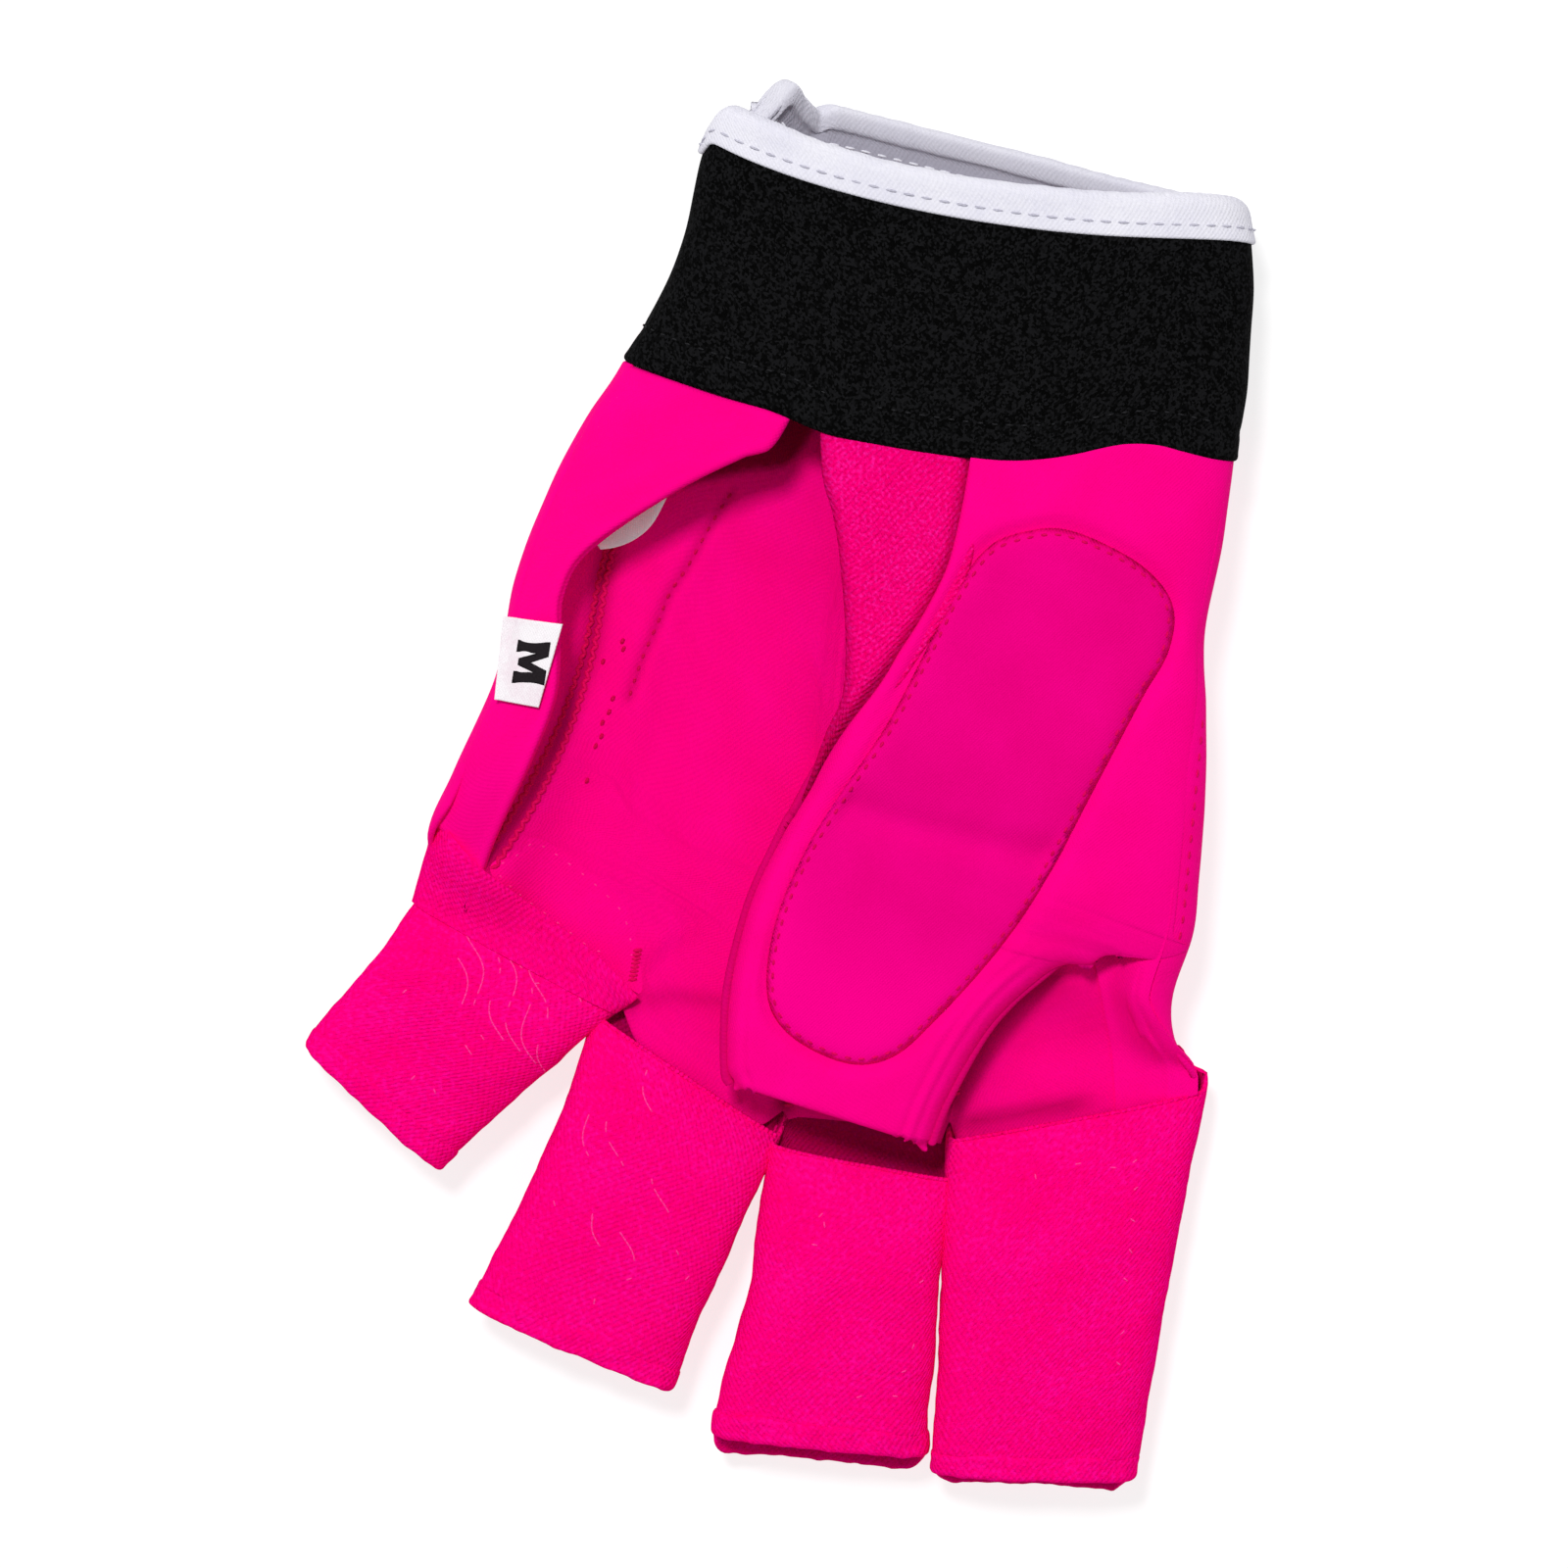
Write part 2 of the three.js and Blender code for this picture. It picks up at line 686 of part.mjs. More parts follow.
for (const base of fingerBases) {
  const frame = stallFrame(base);
  const hemStart = frame.length - hemLength;
  const stall = stallSleeve(frame, 0, hemStart - seamGap, gridCounts.stall, 0, stallWallThickness);
  addPiece(base.name + "_stall", stall, "knit");
  const hemThickness = stallWallThickness + hemProud;
  const hem = stallSleeve(frame, hemStart, frame.length, gridCounts.hem, hemProud, hemThickness);
  addPiece(base.name + "_tip_hem", hem, "knit");
  const padTop = (u, v) => {
    const across = mix(-fingerPadSideShare, fingerPadSideShare, u);
    const rise = -((1 - Math.abs(across) ** stallSquareness) ** (1 / stallSquareness));
    const distance = mix(fingerPadStart, frame.length - fingerPadEnd, v);
    return stallPoint(frame, across, rise, distance, -seamGap);
  };
  const pad = sheet(...gridCounts.fingerPad, padTop, (u, v) => padTop(u, v).setZ(0));
  addPiece(base.name + "_back_pad", pad, "pad");
}

// Cuff: an elastic band, and a white tape folded over its mouth
const cuffBand = sleeve(...gridCounts.cuff, cuffWallThickness, (angle, share, depth) => {
  const acrossShare = (1 + reach(Math.cos(angle), bodySquareness)) / 2;
  return wallPoint(angle, mix(seamY(acrossShare), rimY(angle), share), depth);
});
addPiece("cuff_band", cuffBand, "elastic");

const bindingProfile = [
  [-seamGap - bindingThickness, -bindingWidth],
  [-seamGap - bindingThickness, seamGap],
  [0, seamGap + bindingThickness],
  [cuffWallThickness, seamGap + bindingThickness],
  [cuffWallThickness + seamGap + bindingThickness, seamGap],
  [cuffWallThickness + seamGap + bindingThickness, -bindingWidth],
  [cuffWallThickness + seamGap, -bindingWidth],
  [cuffWallThickness + seamGap, seamGap],
  [-seamGap, seamGap],
  [-seamGap, -bindingWidth],
];
const cuffBinding = loop(gridCounts.cuff[0], (angle) =>
  bindingProfile.map(([depth, offset]) => wallPoint(angle, rimY(angle) + offset, depth)),
);
addPiece("cuff_binding", cuffBinding, "binding");

// Size tag, sewn at its inner edge over the little finger's side of the palm
const tagEdge = palmPoint(tagEdgeShares);
const tagInner = palmSidePoint(tagEdge.x, tagEdge.y, 0);
const tagOuter = palmSidePoint(sideSeamX(tagEdge.y, -1), tagEdge.y, 0);
const tagSlope = Math.atan2(tagInner.z - tagOuter.z, tagInner.x - tagOuter.x);
const tagLift = 2 * seamGap;
const tag = addPiece("size_tag", new THREE.BoxGeometry(tagWidth, tagLength, tagThickness), "label");
tag.geometry.translate(-tagWidth / 2, 0, tagThickness / 2 + tagLift);
tag.position.copy(tagInner);
tag.rotation.set(0, -tagSlope, THREE.MathUtils.degToRad(tagTurn));

// Care label on the lining, under the edge of the ulnar panel
function careLabelPoint(u, v, lift) {
  const turned = new THREE.Vector2((u - 0.5) * labelLength, (v - 0.5) * labelWidth);
  turned.rotateAround(new THREE.Vector2(), THREE.MathUtils.degToRad(labelTurn));
  const place = palmPoint(labelPlaceShares).add(turned);
  return wallPoint(backAngle(acrossShareAt(place.x, place.y)), place.y, shellThickness + seamGap + lift);
}

const careLabel = sheet(
  ...gridCounts.careLabel,
  (u, v) => careLabelPoint(u, v, 0),
  (u, v) => careLabelPoint(u, v, labelThickness),
);
addPiece("care_label", careLabel, "label");

// Bar tacks on the lining where two fingers part
for (const [index, base] of fingerBases.entries()) {
  if (index === 0) continue;
  const crotch = palmPoint(base.leftShares);
  const tackName = "bar_tack_" + fingerBases[index - 1].name + "_" + base.name;
  const tack = addPiece(tackName, new THREE.BoxGeometry(tackWidth, tackLength, tackHeight), "knit");
  tack.position.set(crotch.x, crotch.y + tackInset + tackLength / 2, liningTop + seamGap + tackHeight / 2);
}

export default glove;
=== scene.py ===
"""Half-finger field hockey glove for the left hand, lying on its padded back with the palm up.

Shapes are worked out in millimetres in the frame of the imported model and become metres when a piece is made.
"""

import math

import bpy
import numpy as np
from mathutils import Matrix, Vector
from mathutils.bvhtree import BVHTree
from mathutils.geometry import delaunay_2d_cdt


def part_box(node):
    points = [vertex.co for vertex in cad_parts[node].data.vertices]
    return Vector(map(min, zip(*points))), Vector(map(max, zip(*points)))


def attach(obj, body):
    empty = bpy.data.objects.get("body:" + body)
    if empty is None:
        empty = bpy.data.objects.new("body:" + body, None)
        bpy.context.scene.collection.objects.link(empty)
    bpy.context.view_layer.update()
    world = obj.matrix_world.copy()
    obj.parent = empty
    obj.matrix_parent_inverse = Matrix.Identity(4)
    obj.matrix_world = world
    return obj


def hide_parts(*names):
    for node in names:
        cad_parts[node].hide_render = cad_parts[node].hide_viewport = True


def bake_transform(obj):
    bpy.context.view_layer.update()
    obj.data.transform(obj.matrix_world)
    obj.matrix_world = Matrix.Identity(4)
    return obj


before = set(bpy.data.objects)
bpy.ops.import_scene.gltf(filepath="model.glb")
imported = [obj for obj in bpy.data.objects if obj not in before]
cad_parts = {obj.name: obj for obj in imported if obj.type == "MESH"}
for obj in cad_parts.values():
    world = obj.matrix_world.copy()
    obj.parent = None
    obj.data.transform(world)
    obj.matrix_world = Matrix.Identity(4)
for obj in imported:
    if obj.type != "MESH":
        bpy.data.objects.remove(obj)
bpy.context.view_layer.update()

MM = 0.001

# Driving sizes of the hand, the cuff and the stalls
PALM_WIDTH, PALM_LENGTH = 112.0, 102.0
CUFF_WIDTH, CUFF_LENGTH = 84.0, 39.0
SEAM_LINE = 0.482 * PALM_LENGTH
SEAM_LIFT, SEAM_GAP = 4.6, 0.3
SEAM_RISE, SEAM_RISE_X, SEAM_RISE_WIDTH = 3.5, 26.0, 12.0
SEAM_END_RISE, SEAM_END_X, SEAM_END_WIDTH = 1.5, -17.0, 13.0
RIM_LINE = SEAM_LINE + CUFF_LENGTH
RIM_FRONT_LIFT, RIM_BACK_OVERHANG, RIM_BACK_SKEW = 3.9, 5.2, 3.4
STALL_LEVEL, MOUTH_OVERLAP, HEM_LENGTH = 5.0, 4.6, 3.0
BODY_POWER, STALL_POWER, THUMB_POWER = 3.0, 2.6, 3.2

# Outlines of the body: places along Y with places along X, as shares of the palm or of the cuff
PALM_LEFT = [(-0.53, -0.6), (-0.273, -0.591), (-0.175, -0.601), (-0.087, -0.581), (0.061, -0.545),
             (0.204, -0.539), (0.336, -0.513), (0.449, -0.478)]
PALM_RIGHT = [(-0.53, 0.455), (-0.362, 0.45), (-0.31, 0.412), (-0.25, 0.4), (-0.155, 0.412),
              (-0.07, 0.408), (0.069, 0.396), (0.179, 0.379), (0.275, 0.362), (0.403, 0.365)]
CUFF_LEFT = [(0.1, -0.597), (0.52, -0.527), (1.02, -0.51), (1.2, -0.49)]
CUFF_RIGHT = [(0.1, 0.483), (0.75, 0.471), (1.02, 0.436), (1.2, 0.385)]
TOP_HEIGHTS = [(-0.532 * PALM_LENGTH, 19.0), (0.0, 25.2), (SEAM_LINE / 2, 25.8), (SEAM_LINE, 25.5),
               (RIM_LINE, 23.0)]
BOTTOM_HEIGHTS = [(0.0, 5.0), (SEAM_LINE / 2, 5.0), (SEAM_LINE, 5.0), (RIM_LINE, 1.6)]

# Each finger: its base corners as shares of the palm, its length, tip width, lean and turn of the tip, and the
# height of its palm side at the mouth, one third along and at the tip. Then how far the stretched knit lies
# beyond the corners, left value first: out at the base, out at the tip, on at the tip, and the swell at the
# mouth. Last, how far along the palm side starts, how far in the sides lie where they go under the shell, and
# how far on the hem's back hangs.
FINGERS = {
    "little": dict(left=(-0.591, -0.273), right=(-0.306, -0.386), length=30.5, tip=25.0, lean=35.4, turn=34.0,
                   tops=(12.5, 15.5, 14.5), base=(0.8, 0.2), out=(0.8, 1.0), on=(2.2, 2.2), swell=(0.0, 0.0),
                   start=(0.0, 0.0), tuck=(2.8, 1.0), drop=0.0),
    "ring": dict(left=(-0.306, -0.386), right=(-0.081, -0.511), length=43.6, tip=31.8, lean=16.7, turn=16.4,
                 tops=(11.6, 15.6, 14.8), base=(1.2, 0.3), out=(0.2, 1.2), on=(4.1, 3.2), swell=(3.4, 1.2),
                 start=(3.6, 3.0), tuck=(1.0, 1.0), drop=0.5),
    "middle": dict(left=(-0.076, -0.532), right=(0.13, -0.532), length=42.3, tip=31.0, lean=0.0, turn=-6.4,
                   tops=(13.2, 15.8, 15.0), base=(0.2, 2.2), out=(-0.1, 1.3), on=(2.4, 4.2), swell=(1.9, 1.2),
                   start=(2.2, 3.2), tuck=(1.0, 0.0), drop=3.0),
    "index": dict(left=(0.137, -0.474), right=(0.45, -0.362), length=53.5, tip=29.6, lean=-3.0, turn=-5.0,
                  tops=(13.6, 16.4, 15.6), base=(0.6, 1.4), out=(0.0, 0.4), on=(3.8, 2.8), swell=(0.2, 1.2),
                  start=(3.6, 2.0), tuck=(0.0, 2.8), drop=2.2),
}
CROTCH_GAP, BASE_GAP = 0.8, 0.4
SWELL_END, TUCK_END = 0.3, 2.4

# Edges of the palm-side pieces as shares of the palm: across and along, or only along on the hand's side
ULNAR_SIDE = [0.56, 0.47, 0.412, 0.343, 0.255, 0.196, 0.137, 0.049, -0.039, -0.109, -0.14, -0.168]
ULNAR_OPENING = [(-0.197, 0.56), (-0.232, 0.454), (-0.269, 0.428), (-0.35, 0.365), (-0.452, 0.265),
                 (-0.478, 0.195), (-0.473, 0.137), (-0.464, 0.049), (-0.482, -0.049), (-0.504, -0.137),
                 (-0.518, -0.196), (-0.524, -0.236)]
GUSSET_OPENING = [(-0.188, 0.56), (-0.168, 0.431), (-0.145, 0.37), (-0.129, 0.318), (-0.105, 0.209),
                  (-0.095, 0.119), (-0.107, 0.052), (-0.122, -0.05)]
RADIAL_INNER = [(0.02, 0.56), (0.017, 0.372), (0.004, 0.284), (-0.043, 0.163), (-0.087, 0.063),
                (-0.116, -0.054)]
THUMB_LEFT = [(-0.13, -0.059), (-0.142, -0.09), (-0.171, -0.2), (-0.18, -0.315), (-0.169, -0.44),
              (-0.158, -0.464)]
THUMB_RIGHT = [(0.268, -0.185), (0.23, -0.235), (0.19, -0.285), (0.158, -0.345), (0.126, -0.445),
               (0.113, -0.511)]

# The flex crease of the thumb
CREASE_LEFT, CREASE_RIGHT = np.array((-13.0, -5.5)), np.array((30.6, -18.0))
CREASE_MIDDLE = (CREASE_LEFT + CREASE_RIGHT) / 2

# Picture places in pixels of the 1600 pixel photograph, for what is drawn or sewn on the glove
PHOTO_ORIGIN = np.array((920.0, 800.0))
PHOTO_SCALE = 7.0
PHOTO_TURN = math.radians(9.0)
OVAL_PX = [(1055, 538), (1085, 538), (1125, 553), (1165, 577), (1190, 605), (1197, 632), (1189, 668),
           (1167, 705), (1120, 793), (1083, 865), (1045, 933), (1000, 992), (950, 1046), (915, 1077),
           (880, 1087), (845, 1079), (806, 1056), (786, 1028), (783, 985), (796, 925), (826, 858),
           (862, 800), (905, 735), (940, 668), (975, 598), (1010, 553)]
THUMB_CREASE_PX = [(845, 812), (900, 832), (975, 852), (1045, 868), (1100, 880)]
LINING_SEAM_PX = [(748, 505), (728, 535), (700, 585), (682, 612), (671, 640), (655, 676), (640, 720)]
RING_ROOT_PX = [(664, 1033), (676, 1029), (694, 1030), (712, 1032), (736, 1035)]
OVERLOCK_PX = [(626, 548), (615, 590), (606, 640), (594, 690), (575, 745), (552, 795), (524, 845), (496, 888)]
DOTS_PX = [(634, 660), (635, 668), (614, 681), (624, 719), (620, 733), (613, 744), (612, 758), (606, 768),
           (597, 804)]
ROOT_EDGE_PX = [(446, 838), (468, 866), (493, 892), (520, 914), (562, 948), (606, 983), (650, 1028)]
FACING_PX = [(498, 890), (523, 873), (543, 861), (580, 884), (619, 917), (640, 942), (650, 985), (652, 1026),
             (632, 1014), (606, 992), (562, 957), (520, 922)]
LETTER_PX = (543.5, 674)
CARE_EDGE_PX = [(608, 556), (690, 500)]
# The first mark of every wavy silicone line on a stall, how long the lines are and how much of them is left
GEL_LINES = {"little": ([(460, 940), (476, 930), (493, 926), (510, 938), (526, 952), (542, 972)], 21.0, 0.6),
             "ring": ([(598, 1150), (622, 1140), (660, 1100)], 24.0, 0.38)}
# Single marks, where the lines are nearly worn away
GEL_DOTS = {"middle": [(838, 1252), (842, 1262), (832, 1282), (942, 1322), (934, 1390), (924, 1416),
                       (915, 1442), (878, 1442)],
            "index": [(1104, 1198), (1140, 1202), (1162, 1196), (1163, 1224), (1160, 1256), (1158, 1288),
                      (1153, 1318), (1150, 1374), (1146, 1406), (1060, 1212)],
            "ring": [(563, 1240), (602, 1252), (690, 1290), (640, 1318), (604, 1342), (700, 1318)],
            "little": [(545, 1012), (575, 1012), (590, 1030), (410, 1018), (418, 1108), (440, 1122)]}


# Curves and tables


def smooth_at(points, place):
    """A smooth curve through (place, value) points, read at places."""
    table = np.asarray(points, float)
    xs, ys = table[:, 0], table[:, 1]
    slopes = np.gradient(ys, xs)
    slopes[1:-1] = (ys[2:] - ys[:-2]) / (xs[2:] - xs[:-2])
    place = np.clip(place, xs[0], xs[-1])
    after = np.clip(np.searchsorted(xs, place, side="right"), 1, len(xs) - 1)
    span = xs[after] - xs[after - 1]
    t = (place - xs[after - 1]) / span
    pull = t * (1 - t) ** 2 * span * slopes[after - 1] + t * t * (t - 1) * span * slopes[after]
    return mix(ys[after - 1], ys[after], ease(t)) + pull


def columns_at(places, rows, at):
    """Every column of a table whose rows lie at places."""
    return [smooth_at(np.column_stack([places, column]), at) for column in np.asarray(rows, float).T]


def table_at(rows, share):
    """Every column of a table of evenly spaced rows, at shares of the way down."""
    return columns_at(np.linspace(0, 1, len(rows)), rows, share)


def ease(t):
    t = np.clip(t, 0, 1)
    return t * t * (3 - 2 * t)


def mix(a, b, t):
    return a + (b - a) * t


def bell(gap, width):
    """One at no gap, falling to zero on both sides."""
    return np.exp(-((gap / width) ** 2))


def reach(value, power):
    """A cosine or sine made squarer, for a rounded box of that power."""
    return np.sign(value) * np.abs(value) ** (2 / power)


def unit(vectors):
    return vectors / np.maximum(np.linalg.norm(vectors, axis=-1, keepdims=True), 1e-9)


def palm(share):
    return np.array((share[0] * PALM_WIDTH, share[1] * PALM_LENGTH))


def traced(pixels):
    """Picture places as points of the plan, in millimetres."""
    offset = (np.asarray(pixels, float) - PHOTO_ORIGIN) / PHOTO_SCALE
    cos, sin = math.cos(PHOTO_TURN), math.sin(PHOTO_TURN)
    return np.column_stack([cos * offset[:, 0] + sin * offset[:, 1], sin * offset[:, 0] - cos * offset[:, 1]])


def lengths_along(path):
    return np.concatenate([[0], np.cumsum(np.linalg.norm(np.diff(path, axis=0), axis=1))])


def read_along(path, lengths, places):
    return np.column_stack([np.interp(places, lengths, column) for column in path.T])


def curve_through(points, step, closed=False):
    """Points every step along a smooth curve through points in the plan or in space."""
    points = np.asarray(points, float)
    if closed:
        points = np.vstack([points[-2:], points, points[:3]])
    lengths = lengths_along(points)
    start, end = (lengths[2], lengths[-3]) if closed else (0, lengths[-1])
    places = np.linspace(start, end, max(int((end - start) / step), 2) + 1)
    return np.column_stack(columns_at(lengths, points, places[:-1] if closed else places))


def shrunk(line, amount):
    """A closed line moved inwards."""
    tangent = np.roll(line, -1, axis=0) - np.roll(line, 1, axis=0)
    normal = unit(np.column_stack([-tangent[:, 1], tangent[:, 0]]))
    area = (line[:, 0] * np.roll(line[:, 1], -1) - np.roll(line[:, 0], -1) * line[:, 1]).sum()
    return line + normal * amount * (1 if area > 0 else -1)


def waves(points, size, seed, count=14):
    """Smooth noise from -1 to 1 with features of about that size, made of seeded sine waves."""
    chance = np.random.default_rng(seed)
    directions = chance.normal(size=(count, 3))
    directions /= np.linalg.norm(directions, axis=1)[:, None]
    lengths = size * chance.uniform(0.7, 1.6, count)
    phases = chance.uniform(0, 2 * math.pi, count)
    angles = points.reshape(-1, 3) @ (directions / lengths[:, None] * 2 * math.pi).T + phases
    return (np.sin(angles).sum(1) / math.sqrt(count)).reshape(points.shape[:-1]) * 0.8


def distance_to(points, line, closed=False):
    """Distance in plan or space from points to a polyline."""
    line = np.asarray(line, float)
    starts = line if closed else line[:-1]
    ends = np.roll(line, -1, axis=0) if closed else line[1:]
    flat = points.reshape(-1, points.shape[-1])
    best = np.full(len(flat), 1e9)
    for start, end in zip(starts, ends):
        along = end - start
        t = np.clip((flat - start) @ along / max(along @ along, 1e-12), 0, 1)
        best = np.minimum(best, np.linalg.norm(flat - start - t[:, None] * along, axis=1))
    return best.reshape(points.shape[:-1])


def groove(points, line, width):
    """One on a line of the plan, falling to zero beside it."""
    return bell(distance_to(points[..., :2], line), width)


def inside_of(plan, line):
    """True for plan points inside a closed line."""
    x, y = plan[..., 0], plan[..., 1]
    inside = np.zeros(x.shape, bool)
    for (x1, y1), (x2, y2) in zip(line, np.roll(line, -1, axis=0)):
        crosses = (y1 > y) != (y2 > y)
        inside ^= crosses & (x < x1 + (y - y1) * (x2 - x1) / (y2 - y1 if y2 != y1 else 1e-9))
    return inside


# Sections of the body


def outline(palm_shares, cuff_shares):
    rows = [(y * PALM_LENGTH, x * PALM_WIDTH) for y, x in palm_shares]
    return rows + [(SEAM_LINE + y * CUFF_LENGTH, x * CUFF_WIDTH) for y, x in cuff_shares]


LEFT_OUTLINE, RIGHT_OUTLINE = outline(PALM_LEFT, CUFF_LEFT), outline(PALM_RIGHT, CUFF_RIGHT)


def section(y):
    left, right = smooth_at(LEFT_OUTLINE, y), smooth_at(RIGHT_OUTLINE, y)
    top, bottom = smooth_at(TOP_HEIGHTS, y), smooth_at(BOTTOM_HEIGHTS, y)
    return (left + right) / 2, (right - left) / 2, (top + bottom) / 2, (top - bottom) / 2


def wall(angle, y, depth):
    """A point of the body's skin at an angle round its section, depth under the outer face."""
    centre_x, half_width, centre_z, half_height = section(y)
    x = centre_x + (half_width - depth) * reach(np.cos(angle), BODY_POWER)
    z = centre_z + (half_height - depth) * reach(np.sin(angle), BODY_POWER)
    return np.stack([x, y + 0 * x, z], -1)


def palm_height(x, y):
    centre_x, half_width, centre_z, half_height = section(y)
    share = np.clip(np.abs(x - centre_x) / half_width, 0, 0.9995)
    return centre_z + half_height * (1 - share**BODY_POWER) ** (1 / BODY_POWER)


def seam_y(x):
    """Where the cuff is sewn to the hand."""
    centre_x, half_width, _, _ = section(np.full(np.shape(x), SEAM_LINE))
    from_middle = np.clip((x - centre_x) / half_width, -1, 1)
    rise = SEAM_RISE * bell(x - SEAM_RISE_X, SEAM_RISE_WIDTH)
    rise = rise + SEAM_END_RISE * ease((SEAM_END_X - x) / SEAM_END_WIDTH)
    return SEAM_LINE + SEAM_LIFT * from_middle**2 + rise


def rim_y(angle):
    """Where the cuff's mouth lies at an angle round it."""
    from_middle = reach(np.cos(angle), BODY_POWER)
    front = RIM_LINE + RIM_FRONT_LIFT * from_middle**2
    back = RIM_LINE + RIM_BACK_OVERHANG - RIM_BACK_SKEW * from_middle
    return mix(back, front, (1 + np.sin(angle)) / 2)


def side_x(y, side, share):
    centre_x, half_width, _, _ = section(y)
    return centre_x + side * share * half_width


# Making meshes


def make_piece(name, points, faces, material, weave=None, shade=None, sharp=None):
    """A smooth mesh object from millimetre points. Two UV maps hold the weave's own coordinates and how much
    painted shade it gets, which on the oval pad is painted light. Edges between points marked sharp are
    creased."""
    points, faces = np.asarray(points, float), np.asarray(faces, np.int32)
    mesh = bpy.data.meshes.new(name)
    mesh.vertices.add(len(points))
    mesh.vertices.foreach_set("co", (points * MM).astype(np.float32).ravel())
    mesh.loops.add(faces.size)
    mesh.loops.foreach_set("vertex_index", faces.ravel())
    mesh.polygons.add(len(faces))
    mesh.polygons.foreach_set("loop_start", np.arange(0, faces.size, faces.shape[1], dtype=np.int32))
    mesh.polygons.foreach_set("use_smooth", np.ones(len(faces), bool))
    weave = points[:, :2] if weave is None else weave
    shade = np.zeros(len(points)) if shade is None else np.clip(shade, 0, 1)
    for layer, values in (("weave", weave), ("shade", np.column_stack([shade, 0 * shade]))):
        corners = values[faces.ravel()].astype(np.float32)
        mesh.uv_layers.new(name=layer).uv.foreach_set("vector", corners.ravel())
    mesh.update(calc_edges=True)
    if sharp is not None:
        ends = np.empty(len(mesh.edges) * 2, np.int32)
        mesh.edges.foreach_get("vertices", ends)
        mesh.edges.foreach_set("use_edge_sharp", sharp[ends.reshape(-1, 2)].all(1))
    mesh.validate()
    mesh.materials.append(material)
    piece = bpy.data.objects.new(name, mesh)
    bpy.context.scene.collection.objects.link(piece)
    return piece


def compact(name, points, faces, material, weave, shade=None, sharp=None):
    """Makes a piece without the points that no face uses."""
    used = np.unique(faces)
    order = np.full(len(points), -1)
    order[used] = np.arange(len(used))
    shade, sharp = (None if values is None else values[used] for values in (shade, sharp))
    return make_piece(name, points[used], order[faces], material, weave[used], shade, sharp)


def grid_normals(points, wrapped):
    """Unit normals of a grid of points, rows first."""
    if wrapped:
        around = np.roll(points, -1, axis=1) - np.roll(points, 1, axis=1)
    else:
        around = np.gradient(points, axis=1)
    return unit(np.cross(around, np.gradient(points, axis=0)))


EDGE_STEPS = np.array((0, 0.06, 0.25, 0.6, 1.0))


def shares_between(whole, fine, count):
    """Places along a length: fine steps near both ends, and even ones between."""
    inside = np.linspace(fine[-1], whole - fine[-1], count - 7)
    return np.concatenate([fine[:-1], inside, (whole - fine[:-1])[::-1]])


def even_shares(place, row_shares, columns, radius, wrapped):
    """Shares along each row that are even in length, with finer steps near both edges."""
    dense = np.linspace(0, 1, 241)
    points = place(*np.meshgrid(dense, row_shares))
    shares = []
    for row in points:
        lengths = lengths_along(row)
        whole = lengths[-1]
        if wrapped:
            targets = np.linspace(0, whole, columns + 1)[:-1]
        else:
            targets = shares_between(whole, min(radius, whole / 5) * EDGE_STEPS, columns)
        shares.append(np.interp(targets, lengths, dense))
    return np.array(shares)


